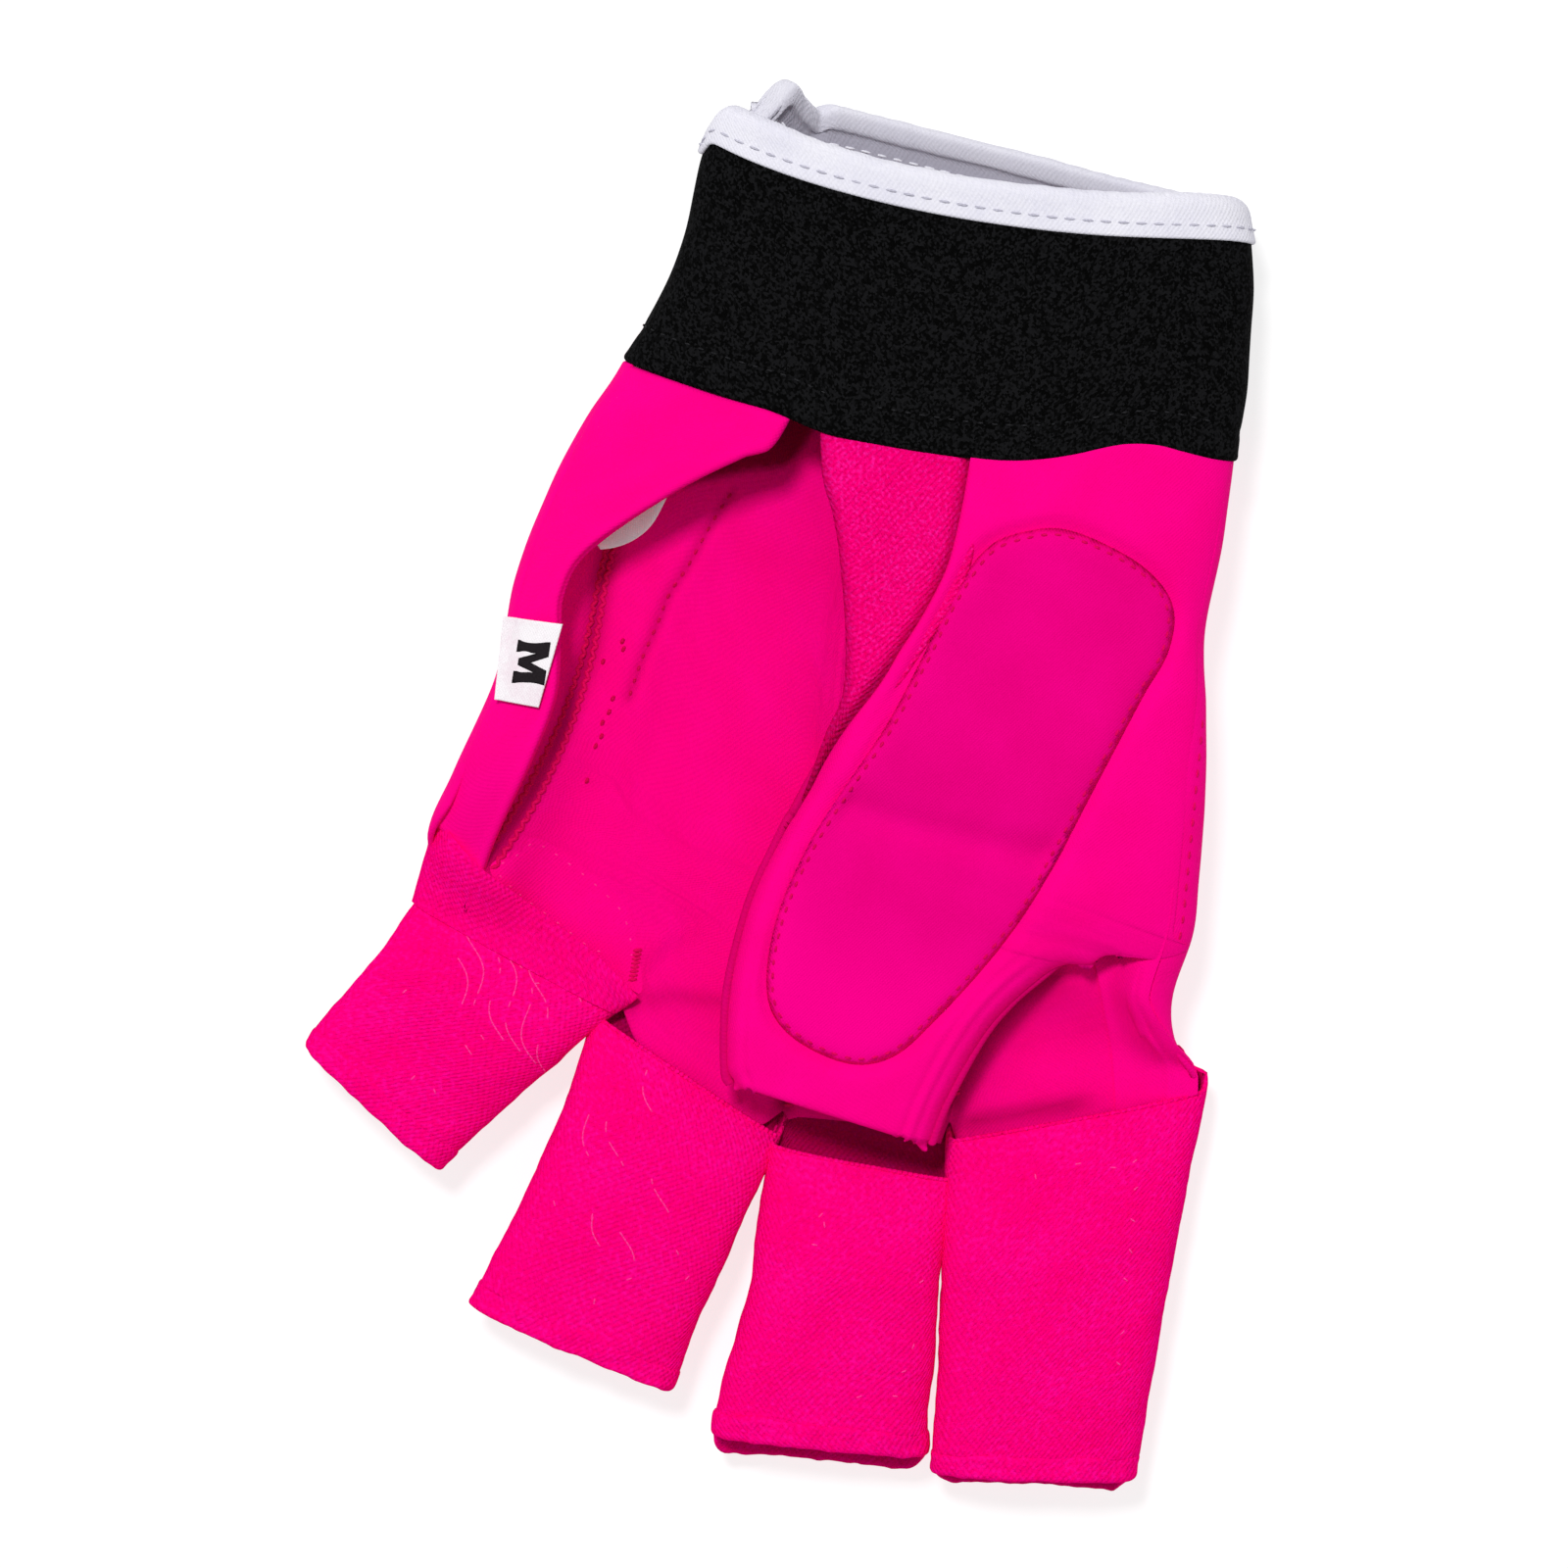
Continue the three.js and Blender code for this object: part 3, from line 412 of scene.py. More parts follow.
def sheet(name, place, columns, rows, thickness, material, relief=None, flip=False, wrapped=False,
          radius=None, lap=None, shade=None, inner_shade=0.0):
    """A closed sheet with rounded edges. place(u, v) gives its face; the thickness lies behind that face.
    lap(points) is 1 where an edge is thin and lies level with the face, and 0 where it is rounded.
    shade(points, u, v) is how deep in shadow the face lies, and inner_shade the same for its hidden side."""
    radius = thickness / 2 if radius is None else radius
    whole = lengths_along(place(np.full(200, 0.5), np.linspace(0, 1, 200)))[-1]
    v_shares = shares_between(1, min(radius / whole, 0.1) * EDGE_STEPS, rows)
    u = even_shares(place, v_shares, columns, radius, wrapped)
    v = np.repeat(v_shares[:, None], u.shape[1], axis=1)
    points = place(u, v)
    normals = grid_normals(points, wrapped) * (-1 if flip else 1)
    if relief is not None:
        points = points + normals * relief(points, u, v)[..., None]
        normals = grid_normals(points, wrapped) * (-1 if flip else 1)
    if wrapped:
        gap = np.minimum(distance_to(points, points[0], True), distance_to(points, points[-1], True))
    else:
        rim = np.vstack([points[0], points[1:, -1], points[-1, -2::-1], points[-2:0:-1, 0]])
        gap = distance_to(points, rim, True)
    away = radius - np.clip(gap, 0, radius)
    drop = (radius - np.sqrt(radius**2 - away**2)) * (thickness / 2 / radius)
    level = 0 if lap is None else np.clip(lap(points), 0, 1) * 0.9
    front = points - normals * (drop * (1 - level))[..., None]
    behind = points - normals * (thickness - drop * (1 + level))[..., None]
    front_index = np.arange(u.size).reshape(u.shape)
    behind_index = front_index + u.size
    behind_index[0], behind_index[-1] = front_index[0], front_index[-1]
    if not wrapped:
        behind_index[:, 0], behind_index[:, -1] = front_index[:, 0], front_index[:, -1]
    faces = []
    for index, turned in ((front_index, flip), (behind_index, not flip)):
        if wrapped:
            index = np.column_stack([index, index[:, 0]])
        quads = np.stack([index[:-1, :-1], index[:-1, 1:], index[1:, 1:], index[1:, :-1]], -1).reshape(-1, 4)
        faces.append(quads[:, ::-1] if turned else quads)
    across = np.linalg.norm(np.diff(points, axis=1, prepend=points[:, :1]), axis=-1).cumsum(1)
    across -= across[:, -1:] / 2
    along = np.linalg.norm(np.diff(points, axis=0, prepend=points[:1]), axis=-1).cumsum(0)
    weave = np.stack([across, along], -1).reshape(-1, 2)
    dark = np.zeros(u.size) if shade is None else shade(points, u, v).ravel()
    dark = np.concatenate([dark, np.maximum(dark, inner_shade)])
    lapped = None
    if lap is not None:
        lapped = np.concatenate([((gap < 1e-6) & (level > 0.5)).ravel(), np.zeros(u.size, bool)])
    both = np.vstack([front.reshape(-1, 3), behind.reshape(-1, 3)])
    return compact(name, both, np.vstack(faces), material, np.vstack([weave, weave]), dark, lapped)


def grid_patch(name, border, step, face, thickness, material, shade=None, creased=False):
    """A closed patch filling a border in the plan: a fine grid of points inside it, joined to the border."""
    low, high = border.min(0), border.max(0)
    inner = []
    for row, y in enumerate(np.arange(low[1], high[1], step * 0.866)):
        inner += [(x, y) for x in np.arange(low[0] + (row % 2) * step / 2, high[0], step)]
    inner = np.array(inner)
    keep = inside_of(inner, border) & (distance_to(inner, border, True) > step * 0.5)
    plan = np.vstack([border, inner[keep]])
    count = len(border)
    edges = [(k, (k + 1) % count) for k in range(count)]
    filled = delaunay_2d_cdt([Vector(p) for p in plan], edges, [list(range(count))], 1, 1e-6)
    made, triangles = filled[0], filled[2]
    plan = np.array([tuple(p) for p in made])
    triangles = np.array([t for t in triangles if len(t) == 3])
    gap = distance_to(plan, border, True)
    on_border = gap < 1e-4
    top = face(plan, gap)
    bottom = top.copy()
    bottom[:, 2] -= np.where(on_border, 0, thickness)
    order = np.where(on_border, 0, len(plan)) + np.arange(len(plan))
    faces = np.vstack([triangles, order[triangles[:, ::-1]]])
    points = np.vstack([top, bottom])
    return compact(name, points, faces, material, points[:, :2], None if shade is None else shade(points),
                   np.concatenate([on_border, on_border]) if creased else None)


def flat_all_round(points):
    return np.ones(points.shape[:-1])


def tree_of(*pieces):
    """A search tree over the meshes of pieces."""
    points, faces = [], []
    for piece in pieces:
        offset = len(points)
        points += [v.co / MM for v in piece.data.vertices]
        faces += [[offset + k for k in p.vertices] for p in piece.data.polygons]
    return BVHTree.FromPolygons(points, faces)


def laid_on(tree, plan, above=True):
    """Points and normals where vertical lines through plan points first meet a surface."""
    start_z, way = (60.0, -1.0) if above else (-30.0, 1.0)
    found, normals = [], []
    for x, y in plan:
        hit, normal, _, _ = tree.ray_cast(Vector((x, y, start_z)), Vector((0, 0, way)))
        if hit is not None:
            found.append(hit)
            normals.append(-normal if normal.z * way > 0 else normal)
    return np.array(found), np.array(normals)


def heights_on(tree, plan, lift):
    """Points on a surface above plan points, raised by a lift."""
    points = []
    for (x, y), rise in zip(plan, np.broadcast_to(lift, len(plan))):
        hit = tree.ray_cast(Vector((x, y, 60)), Vector((0, 0, -1)))[0]
        hit = hit or tree.find_nearest(Vector((x, y, 12)))[0]
        points.append((x, y, hit.z + rise))
    return np.array(points)


# The rings of a stitch: share of its half length, share of its radius, and rise as a share of its radius
STITCH_RINGS = ((-1.0, 0.3, -0.7), (-0.72, 0.8, -0.15), (0.0, 1.0, 0.3), (0.72, 0.8, -0.15), (1.0, 0.3, -0.7))
STITCH_SIDES = 6


def capsules(name, at, along, across, up, length, radius, material):
    """Small bent capsules at places, each with its own axes."""
    points, faces = [], []
    for ring, (t, wide, rise) in enumerate(STITCH_RINGS):
        for side in range(STITCH_SIDES):
            angle = 2 * math.pi * side / STITCH_SIDES
            out = across * math.cos(angle) * radius * wide
            out = out + up * (math.sin(angle) * radius * wide + rise * radius)
            points.append(at + along * t * length / 2 + out)
            if ring < len(STITCH_RINGS) - 1:
                a, b = ring * STITCH_SIDES + side, ring * STITCH_SIDES + (side + 1) % STITCH_SIDES
                faces.append((a, a + STITCH_SIDES, b + STITCH_SIDES, b))
    last = (len(STITCH_RINGS) - 1) * STITCH_SIDES
    faces += [(0, 1, 2, 3), (0, 3, 4, 5)]
    faces += [(last + 3, last + 2, last + 1, last), (last + 5, last + 4, last + 3, last)]
    offsets = np.arange(len(at))[:, None, None] * len(points)
    faces = (np.array(faces) + offsets).reshape(-1, 4)
    return make_piece(name, np.stack(points, 1).reshape(-1, 3), faces, material)


def stitch_axes(path, normals, pitch, slant, closed):
    """The places, directions, cross directions and normals of a row of stitches along a path."""
    if closed:
        path, normals = np.vstack([path, path[:1]]), np.vstack([normals, normals[:1]])
    lengths = lengths_along(path)
    count = max(int(lengths[-1] / pitch), 1)
    places = (np.arange(count) + 0.5) * lengths[-1] / count
    up = unit(read_along(normals, lengths, places))
    along = read_along(path, lengths, places + 0.3) - read_along(path, lengths, places - 0.3)
    along = unit(along - up * (along * up).sum(1)[:, None])
    across = np.cross(up, along)
    turn = slant * np.where(np.arange(count) % 2 == 0, 1, -1)[:, None]
    cos, sin = np.cos(turn), np.sin(turn)
    return read_along(path, lengths, places), along * cos + across * sin, across * cos - along * sin, up


def stitches(name, rows, pitch, length, radius, material, slant=0.0, lift=0.0, closed=False):
    """Rows of thread stitches along (path, normals) pairs on a surface."""
    axes = [stitch_axes(path, normals, pitch, slant, closed) for path, normals in rows]
    at, along, across, up = (np.vstack(parts) for parts in zip(*axes))
    return capsules(name, at + up * lift, along, across, up, length, radius, material)


def ripples(*parts):
    """A relief of waves, each given by its size, seed and height."""
    return lambda points, u, v: sum(waves(points, size, seed) * height for size, seed, height in parts)


def settle(piece, body, slot, *nodes):
    """Lets a piece ride on a body and hides the solids that it stands for. Its slot is not used."""
    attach(piece, body)
    if nodes:
        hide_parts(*nodes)


def sew(name, rows, pitch, length, radius, material, body="shell", **more):
    """Rows of stitches that ride on a body."""
    settle(stitches(name, rows, pitch, length, radius, material, **more), body, "thread")


def bend(piece, body, slot, start, end, *nodes):
    """Bakes a piece's place into its mesh and hides the solids that it stands for. Its body and slot are not
    used.
    """
    if nodes:
        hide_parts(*nodes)
    Vector(start) * MM
    Vector(end) * MM
    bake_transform(piece)


# Materials


class Look:
    """A principled material, made node by node on the weave's own coordinates."""

    def __init__(self, name, colour, roughness, specular):
        self.material = bpy.data.materials.new(name)
        self.material.use_nodes = True
        self.tree = self.material.node_tree
        self.shader = self.tree.nodes["Principled BSDF"]
        self.shader.inputs["Base Color"].default_value = (*colour, 1)
        self.shader.inputs["Roughness"].default_value = roughness
        self.shader.inputs["Specular IOR Level"].default_value = specular
        self.weave = self.map_of("weave")

    def add(self, kind, inputs, **settings):
        """A node with settings and inputs, each input a value or another node's output."""
        node = self.tree.nodes.new("ShaderNode" + kind)
        for name, value in settings.items():
            setattr(node, name, value)
        for name, value in inputs.items():
            if isinstance(value, bpy.types.NodeSocket):
                self.tree.links.new(value, node.inputs[name])
            else:
                node.inputs[name].default_value = value
        return node

    def map_of(self, name):
        return self.add("UVMap", {}, uv_map=name).outputs[0]

    def parts_of(self, vector):
        return self.add("SeparateXYZ", {0: vector}).outputs

    def math(self, operation, first, second):
        return self.add("Math", {0: first, 1: second}, operation=operation).outputs[0]

    def sum_of(self, first, first_share, second, second_share):
        first, second = self.math("MULTIPLY", first, first_share), self.math("MULTIPLY", second, second_share)
        return self.math("ADD", first, second)

    def noise(self, scale, detail, place=None):
        inputs = {"Vector": place or self.weave, "Scale": scale, "Detail": detail}
        return self.add("TexNoise", inputs).outputs["Fac"]

    def speckle(self, scale):
        """A random value for every small cell of the weave."""
        cells = self.add("TexVoronoi", {"Vector": self.weave, "Scale": scale})
        return self.add("SeparateColor", {0: cells.outputs["Color"]}).outputs[0]

    def loops(self, pitch):
        """Rows of knitted loops: two crossed waves of the weave's coordinates in millimetres."""
        turn = 2 * math.pi / pitch
        across, along = (self.math("SINE", self.math("MULTIPLY", part, turn * share), 0.0)
                         for part, share in zip(self.parts_of(self.weave), (1.0, ROW_SHARE)))
        return self.math("MULTIPLY", across, along)

    def ramp(self, value, stops):
        node = self.add("ValToRGB", {0: value})
        elements = node.color_ramp.elements
        for element, (position, colour) in zip(elements, (stops[0], stops[-1])):
            element.position, element.color = position, (*colour, 1)
        for position, colour in stops[1:-1]:
            elements.new(position).color = (*colour, 1)
        return node.outputs[0]

    def bump(self, height, distance):
        node = self.add("Bump", {"Strength": 1.0, "Distance": distance, "Height": height})
        self.colour("Normal", node.outputs[0])

    def colour(self, socket, value):
        self.tree.links.new(value, self.shader.inputs[socket])


ROW_SHARE = 0.8
# The deep red that the shade map paints in as painted shade on the pink fabrics
PAINTED_SHADE_RED = (0.13, 0.0, 0.001)
# The second, lighter pink is painted in on the oval pad as painted light
PINK, PAINTED_LIGHT_PINK = (0.93, 0.0, 0.228), (0.95, 0.0, 0.262)


def fabric(name, colour, dark, light, pitch, depth, fuzz=0.25, specular=0.02, mottle=0.5, grain=1.4,
           deep=PAINTED_SHADE_RED, speckled=False):
    """A fabric with loops of that pitch, variation from dark to light, and a deep colour that the shade map
    paints in as painted shade; the oval pad's is a lighter pink, painted in as painted light.
    """
    look = Look(name, colour, 0.85, specular)
    fine = look.speckle(grain) if speckled else look.noise(grain, 3.0)
    both = look.sum_of(look.noise(0.09, 2.0), 1 - mottle, fine, mottle)
    lit = look.ramp(both, [(0.3, dark), (0.5, colour), (0.7, light)])
    shade = look.parts_of(look.map_of("shade"))[0]
    mixed = look.add("Mix", {0: shade, 6: lit, 7: (*deep, 1)}, data_type="RGBA")
    look.colour("Base Color", mixed.outputs[2])
    look.bump(look.sum_of(look.loops(pitch), 0.5, look.noise(2.2, 4.0), fuzz * 4), depth * MM)
    return look.material


def thread(name, colour, dark):
    look = Look(name, colour, 0.7, 0.06)
    drawn_out = look.add("Mapping", {"Vector": look.weave, "Scale": (1, 4, 1)}).outputs[0]
    twist = look.noise(3.0, 2.0, drawn_out)
    look.colour("Base Color", look.ramp(twist, [(0.35, dark), (0.65, colour)]))
    look.bump(twist, 0.08 * MM)
    return look.material


NEOPRENE = fabric("neoprene_jersey", PINK, (0.9, 0.0, 0.205), (0.96, 0.0, 0.25), 0.55, 0.05, mottle=0.3)
# The pad's deep colour is a lighter pink, so its shade map paints in painted light
PAD = fabric("pad_jersey", (0.79, 0.0, 0.205), (0.745, 0.0, 0.185), (0.83, 0.0, 0.225), 0.5, 0.05, mottle=0.3,
             deep=PAINTED_LIGHT_PINK)
KNIT = fabric("stretch_knit", (0.96, 0.0, 0.19), (0.9, 0.0, 0.135), (1.0, 0.003, 0.3), 0.9, 0.14,
              fuzz=0.4, mottle=0.7, specular=0.0)
GUSSET = fabric("gusset_knit", (0.92, 0.0, 0.175), (0.82, 0.0, 0.115), (1.0, 0.012, 0.33), 0.9, 0.2,
                fuzz=0.4, mottle=0.8, specular=0.0, grain=1.8)
LINING = fabric("lining_jersey", (0.92, 0.0, 0.21), (0.88, 0.0, 0.185), (0.95, 0.0, 0.24), 0.6, 0.06,
                mottle=0.35)
FOAM = fabric("foam", (0.62, 0.55, 0.5), (0.5, 0.44, 0.4), (0.7, 0.64, 0.58), 0.8, 0.1)
ELASTIC = fabric("elastic_web", (0.0028, 0.0028, 0.003), (0.0012, 0.0012, 0.0012), (0.0078, 0.0078, 0.0086),
                 0.6, 0.08, fuzz=0.3, mottle=0.9, grain=2.8, speckled=True)
BINDING = fabric("binding_tape", (0.74, 0.73, 0.81), (0.68, 0.67, 0.77), (0.8, 0.79, 0.85), 0.7, 0.08,
                 fuzz=0.3, mottle=0.4, deep=(0.36, 0.345, 0.41))
TAG = fabric("tag_tape", (0.86, 0.82, 0.85), (0.78, 0.62, 0.7), (0.9, 0.88, 0.9), 0.45, 0.05, mottle=0.2)
CARE = fabric("care_tape", (0.96, 0.93, 0.98), (0.93, 0.88, 0.94), (0.98, 0.97, 1.0), 0.45, 0.05, mottle=0.2)
PINK_THREAD = thread("pink_thread", (1.0, 0.05, 0.33), (0.93, 0.005, 0.24))
DEEP_THREAD = thread("deep_thread", (0.75, 0.0, 0.11), (0.42, 0.0, 0.04))
DARK_PINK_THREAD = thread("pink_dark_thread", (0.8, 0.0, 0.13), (0.55, 0.0, 0.07))
WHITE_THREAD = thread("white_thread", (0.62, 0.61, 0.7), (0.42, 0.41, 0.5))
LIGHT_THREAD = thread("light_thread", (0.88, 0.87, 0.93), (0.75, 0.74, 0.82))
BLACK_THREAD = thread("black_thread", (0.028, 0.028, 0.031), (0.008, 0.008, 0.009))
INK = thread("tag_ink", (0.02, 0.015, 0.018), (0.01, 0.008, 0.01))
SILICONE = thread("silicone", (1.0, 0.07, 0.38), (0.97, 0.01, 0.27))

# Back of the hand: cover, foam and lining

CORNERS = sorted(tuple(palm(finger[side])) for finger in FINGERS.values() for side in ("left", "right"))
FRINGE_X, FRINGE_Y = zip(*CORNERS)
LEFT_SEAM_SHARE = 0.985
RIGHT_SEAM_SHARES = [(-40, 0.95), (-25, 0.94), (5, 0.94), (22, 0.97), (45, 0.985)]
# How far round the side seams drop towards the fingers, and where along the hand that starts and over how much
LEFT_DROP, RIGHT_DROP = 0.5, 0.45
LEFT_DROP_Y, RIGHT_DROP_Y = (-13, 13), (-25, 12)
# How far the lining stops short of the stalls' mouths, by X, and below zero how far it goes on under them
MOUTH_HOLLOW = [(-66, 0.3), (-37, 0.2), (-32, -5.0), (-13, -4.8), (-8.5, 0.8), (-5, 1.8), (11, 2.2),
                (14.5, 0.5), (17.5, -5.2), (35, -4.6), (46, -3.0)]


def right_seam_x(y):
    return side_x(y, 1, smooth_at(RIGHT_SEAM_SHARES, y))


def back_angles(u, y, inset):
    """Angles round the back between the side seams, which drop towards the fingers."""
    left = LEFT_SEAM_SHARE + inset[0]
    right = smooth_at(RIGHT_SEAM_SHARES, y) + inset[1]
    left = math.pi - np.arccos(np.clip(left ** (BODY_POWER / 2), 0, 0.9999))
    right = 2 * math.pi + np.arccos(np.clip(right ** (BODY_POWER / 2), 0, 0.9999))
    left = left + LEFT_DROP * ease((LEFT_DROP_Y[0] - y) / LEFT_DROP_Y[1])
    right = right - RIGHT_DROP * ease((RIGHT_DROP_Y[0] - y) / RIGHT_DROP_Y[1])
    return mix(left, right, u)


def back_place(depth, inset, hollow=0.0, least=-9.0):
    """Points of a layer of the back, from the fingers' bases to the cuff seam."""
    def fringe_y(x):
        return np.interp(x, FRINGE_X, FRINGE_Y) + hollow * np.maximum(smooth_at(MOUTH_HOLLOW, x), least)

    def crossing(u, y, y_at):
        for _ in range(6):
            y = y_at(wall(back_angles(u, y, inset), y, depth)[..., 0])
        return y

    def place(u, v):
        start = crossing(u, np.full_like(u, FRINGE_Y[2]), fringe_y)
        end = crossing(u, np.full_like(u, SEAM_LINE), lambda x: seam_y(x) - SEAM_GAP)
        y = mix(start, end, v)
        return wall(back_angles(u, y, inset), y, depth)
    return place


cover = sheet("back_cover_jersey", back_place(0.1, (-0.012, -0.012)), 150, 96, 1.0, NEOPRENE,
              ripples((34, 3, 0.12), (9, 4, 0.05)), flip=True)
settle(cover, "shell", "neoprene", "back_cover")

foam = sheet("back_foam_layer", back_place(1.2, (0.05, 0.05), 1.5, 0.8), 80, 50, 1.2, FOAM, flip=True)
settle(foam, "shell", "foam", "back_foam")

lining_seam = curve_through(traced(LINING_SEAM_PX), 1.0)
overlock_line = curve_through(traced(OVERLOCK_PX), 1.0)
ring_root_line = curve_through(traced(RING_ROOT_PX), 1.0)
ulnar_edge = curve_through([palm(share) for share in ULNAR_OPENING], 1.0)
thumb_edge = np.array([palm(share) for share in THUMB_RIGHT[1:-1]])
WEB_AT, WEB_SPREAD = (34.0, -23.0), (12, 8)
WEB_RISE, EDGE_RISE, THUMB_EDGE_RISE = 4.0, 4.5, 2.8
LINING_CROTCHES = [(-34.5, -38.6), (-9.2, -50.6)]
INDEX_SHADE_ON = 1.6
HOLLOW_FROM, HOLLOW_FULL, HOLLOW_TO, HOLLOW_FADE = -42, -24, -10, 4
HOLLOW_DEPTHS = (0.4, 4.8)
MOUTH_SHADE_FROM, MOUTH_SHADE_TO = 15, 38
THUMB_SHADE_AT = np.array((1.2, -0.9))


def lining_relief(points, u, v):
    wrinkles = ripples((26, 7, 0.25), (8, 8, 0.06))(points, u, v)
    seams = groove(points, lining_seam, 1.0) * 0.5 + groove(points, overlock_line, 1.6) * 0.8
    beside = groove(points, lining_seam, 3.2) * 0.35
    web = bell(points[..., 0] - WEB_AT[0], WEB_SPREAD[0]) * bell(points[..., 1] - WEB_AT[1], WEB_SPREAD[1])
    at_edge = groove(points, ulnar_edge, 6) * ease((12 - points[..., 1]) / 22)
    by_thumb = groove(points, thumb_edge, 5)
    return wrinkles - seams + beside + web * WEB_RISE + at_edge * EDGE_RISE + by_thumb * THUMB_EDGE_RISE


def lining_shade(points, u, v):
    """Deep shade beside the panel's edge, on the sewn lines, by the thumb and where the fingers part."""
    x, y = points[..., 0], points[..., 1]
    depth = mix(*HOLLOW_DEPTHS, np.clip((x - HOLLOW_FROM) / (HOLLOW_FULL - HOLLOW_FROM), 0, 1))
    hollow = ease((depth - distance_to(points[..., :2], ulnar_edge)) / 1.4)
    hollow = hollow * ease((x - HOLLOW_FROM) / HOLLOW_FADE) * ease((HOLLOW_TO - x) / HOLLOW_FADE)
    sewn = groove(points, overlock_line, 1.7) * 0.6 + groove(points, lining_seam, 0.7) * 0.35
    sewn = sewn + groove(points, ring_root_line, 1.3) * 0.26
    crotches = sum(bell(x - at_x, 1.6) * bell(y - at_y, 2.0) for at_x, at_y in LINING_CROTCHES)
    mouth = bell(y - np.interp(x, FRINGE_X, FRINGE_Y) + INDEX_SHADE_ON, 1.4)
    mouth = mouth * ease((x - MOUTH_SHADE_FROM) / 4) * ease((MOUTH_SHADE_TO - x) / 6)
    by_thumb = groove(points, thumb_edge + THUMB_SHADE_AT, 1.7)
    return hollow * 0.85 + sewn + crotches * 0.8 + mouth * 0.45 + by_thumb * 0.6


lining = sheet("back_lining_jersey", back_place(4.0, (-0.03, 0.01), 1.0), 150, 96, 0.8, LINING, lining_relief,
               shade=lining_shade)
settle(lining, "shell", "lining", "back_lining")
lining_tree = tree_of(lining)


# Palm panels


def edge_along(shares):
    points = [palm(share) for share in shares]
    return lambda v: table_at(points, v)


def panel_place(left, right, height, from_seam=True):
    """A panel between two edges, which starts at the cuff seam where from_seam says so."""
    def plan(u, v):
        (left_x, left_y), (right_x, right_y) = left(v), right(v)
        return mix(left_x, right_x, u), mix(left_y, right_y, u)

    def place(u, v):
        if from_seam:
            low, high = np.zeros_like(u), np.full_like(u, 0.3)
            for _ in range(16):
                x, y = plan(u, (low + high) / 2)
                beyond = y > seam_y(x) - SEAM_GAP
                low, high = np.where(beyond, (low + high) / 2, low), np.where(beyond, high, (low + high) / 2)
            v = mix(low, 1, v)
        x, y = plan(u, v)
        return np.stack([x, y, height(x, y)], -1)
    return place


ULNAR_SIDE_SHARE, ULNAR_FALL = 0.992, 4.2


def ulnar_side(v):
    y = table_at([(along * PALM_LENGTH,) for along in ULNAR_SIDE], v)[0]
    return side_x(y, -1, ULNAR_SIDE_SHARE), y


def ulnar_height(x, y):
    """The palm's height, falling towards the little finger's root."""
    return palm_height(x, y) - ULNAR_FALL * ease((-4 - y) / 20) * ease((palm_height(x, y) - 14) / 6)


def ulnar_relief(points, u, v):
    near_cuff = bell(SEAM_LINE - points[..., 1], 6) * waves(points, 11, 12)
    return waves(points, 30, 11) * 0.2 + near_cuff * 0.25 + ease((u - 0.8) / 0.2) * 0.4


ulnar_place = panel_place(ulnar_side, edge_along(ULNAR_OPENING), ulnar_height)
ulnar = sheet("ulnar_panel_jersey", ulnar_place, 48, 120, 2.4, NEOPRENE, ulnar_relief, flip=True)
settle(ulnar, "shell", "neoprene", "ulnar_palm_panel")

gusset_seam = curve_through([palm(share) for share in RADIAL_INNER], 1.0)
gusset_edge = curve_through([palm(share) for share in GUSSET_OPENING], 1.0)
GUSSET_LAP, GUSSET_SINK, GUSSET_FALL, GUSSET_SEAM_SINK = 0.028, 0.35, 5.0, 0.8


def gusset_height(x, y):
    at_seam = bell(distance_to(np.stack([x, y], -1), gusset_seam), 1.2)
    return palm_height(x, y) - GUSSET_SINK - ease((18 - y) / 26) * GUSSET_FALL - GUSSET_SEAM_SINK * at_seam


def gusset_shade(points, u, v):
    return 0.65 * groove(points, gusset_seam, 0.9) + 0.4 * groove(points, gusset_edge, 0.9)


gusset_right = edge_along([(across + GUSSET_LAP, along) for across, along in RADIAL_INNER])
gusset_place = panel_place(edge_along(GUSSET_OPENING), gusset_right, gusset_height)
gusset = sheet("gusset_knit", gusset_place, 34, 84, 1.2, GUSSET, ripples((14, 21, 0.15), (4, 22, 0.06)),
               flip=True, shade=gusset_shade)
settle(gusset, "shell", "knit", "thumb_gusset")

# The panel on the thumb's side, which goes on as the front of the thumb

THUMB_AXIS = unit(np.array((CREASE_RIGHT[1] - CREASE_LEFT[1], CREASE_LEFT[0] - CREASE_RIGHT[0])))
THUMB_SLOPE = 0.03
FOLD_ROWS, FOLD_RISE, FOLD_WIDTH, HEM_FOLD_WIDTH = (2.6, 4.6), 0.35, 0.5, 0.45
SEAT_DEPTH, SEAT_EDGE, CREASE_DEPTH = 1.2, 2.5, 0.5
ROLL_WIDTH, ROLL_DEPTH = 4.2, 4.6
# Edges of the panel by the share of the way down it: the left one, the right one as Y on the side seam, its
# notch in the web, and the thumb's right edge
SKIN_LEFT_SHARES = [0.0, 0.14, 0.22, 0.31, 0.4, 0.5, 0.55, 0.68, 0.8, 0.95, 1.0]
SKIN_RIGHT_SIDE = [(0.0, 57.0), (0.14, 38.0), (0.24, 24.0), (0.36, 4.0), (0.46, -15.2)]
SKIN_NOTCH = [(0.5, (45.6, -17.6)), (0.545, (41.5, -19.6)), (0.585, (37.0, -19.9)), (0.615, (33.6, -20.4)),
              (0.64, (31.4, -22.2)), (0.665, (28.6, -22.4))]
SKIN_THUMB = list(zip((0.72, 0.78, 0.85, 0.95, 1.0), (palm(share) for share in THUMB_RIGHT[1:])))


def past_crease(x, y):
    """How far a place lies past the flex crease, towards the thumb's tip."""
    return (x - CREASE_LEFT[0]) * THUMB_AXIS[0] + (y - CREASE_LEFT[1]) * THUMB_AXIS[1]


def skin_left(v):
    return columns_at(SKIN_LEFT_SHARES, [palm(share) for share in RADIAL_INNER[:-1] + THUMB_LEFT], v)


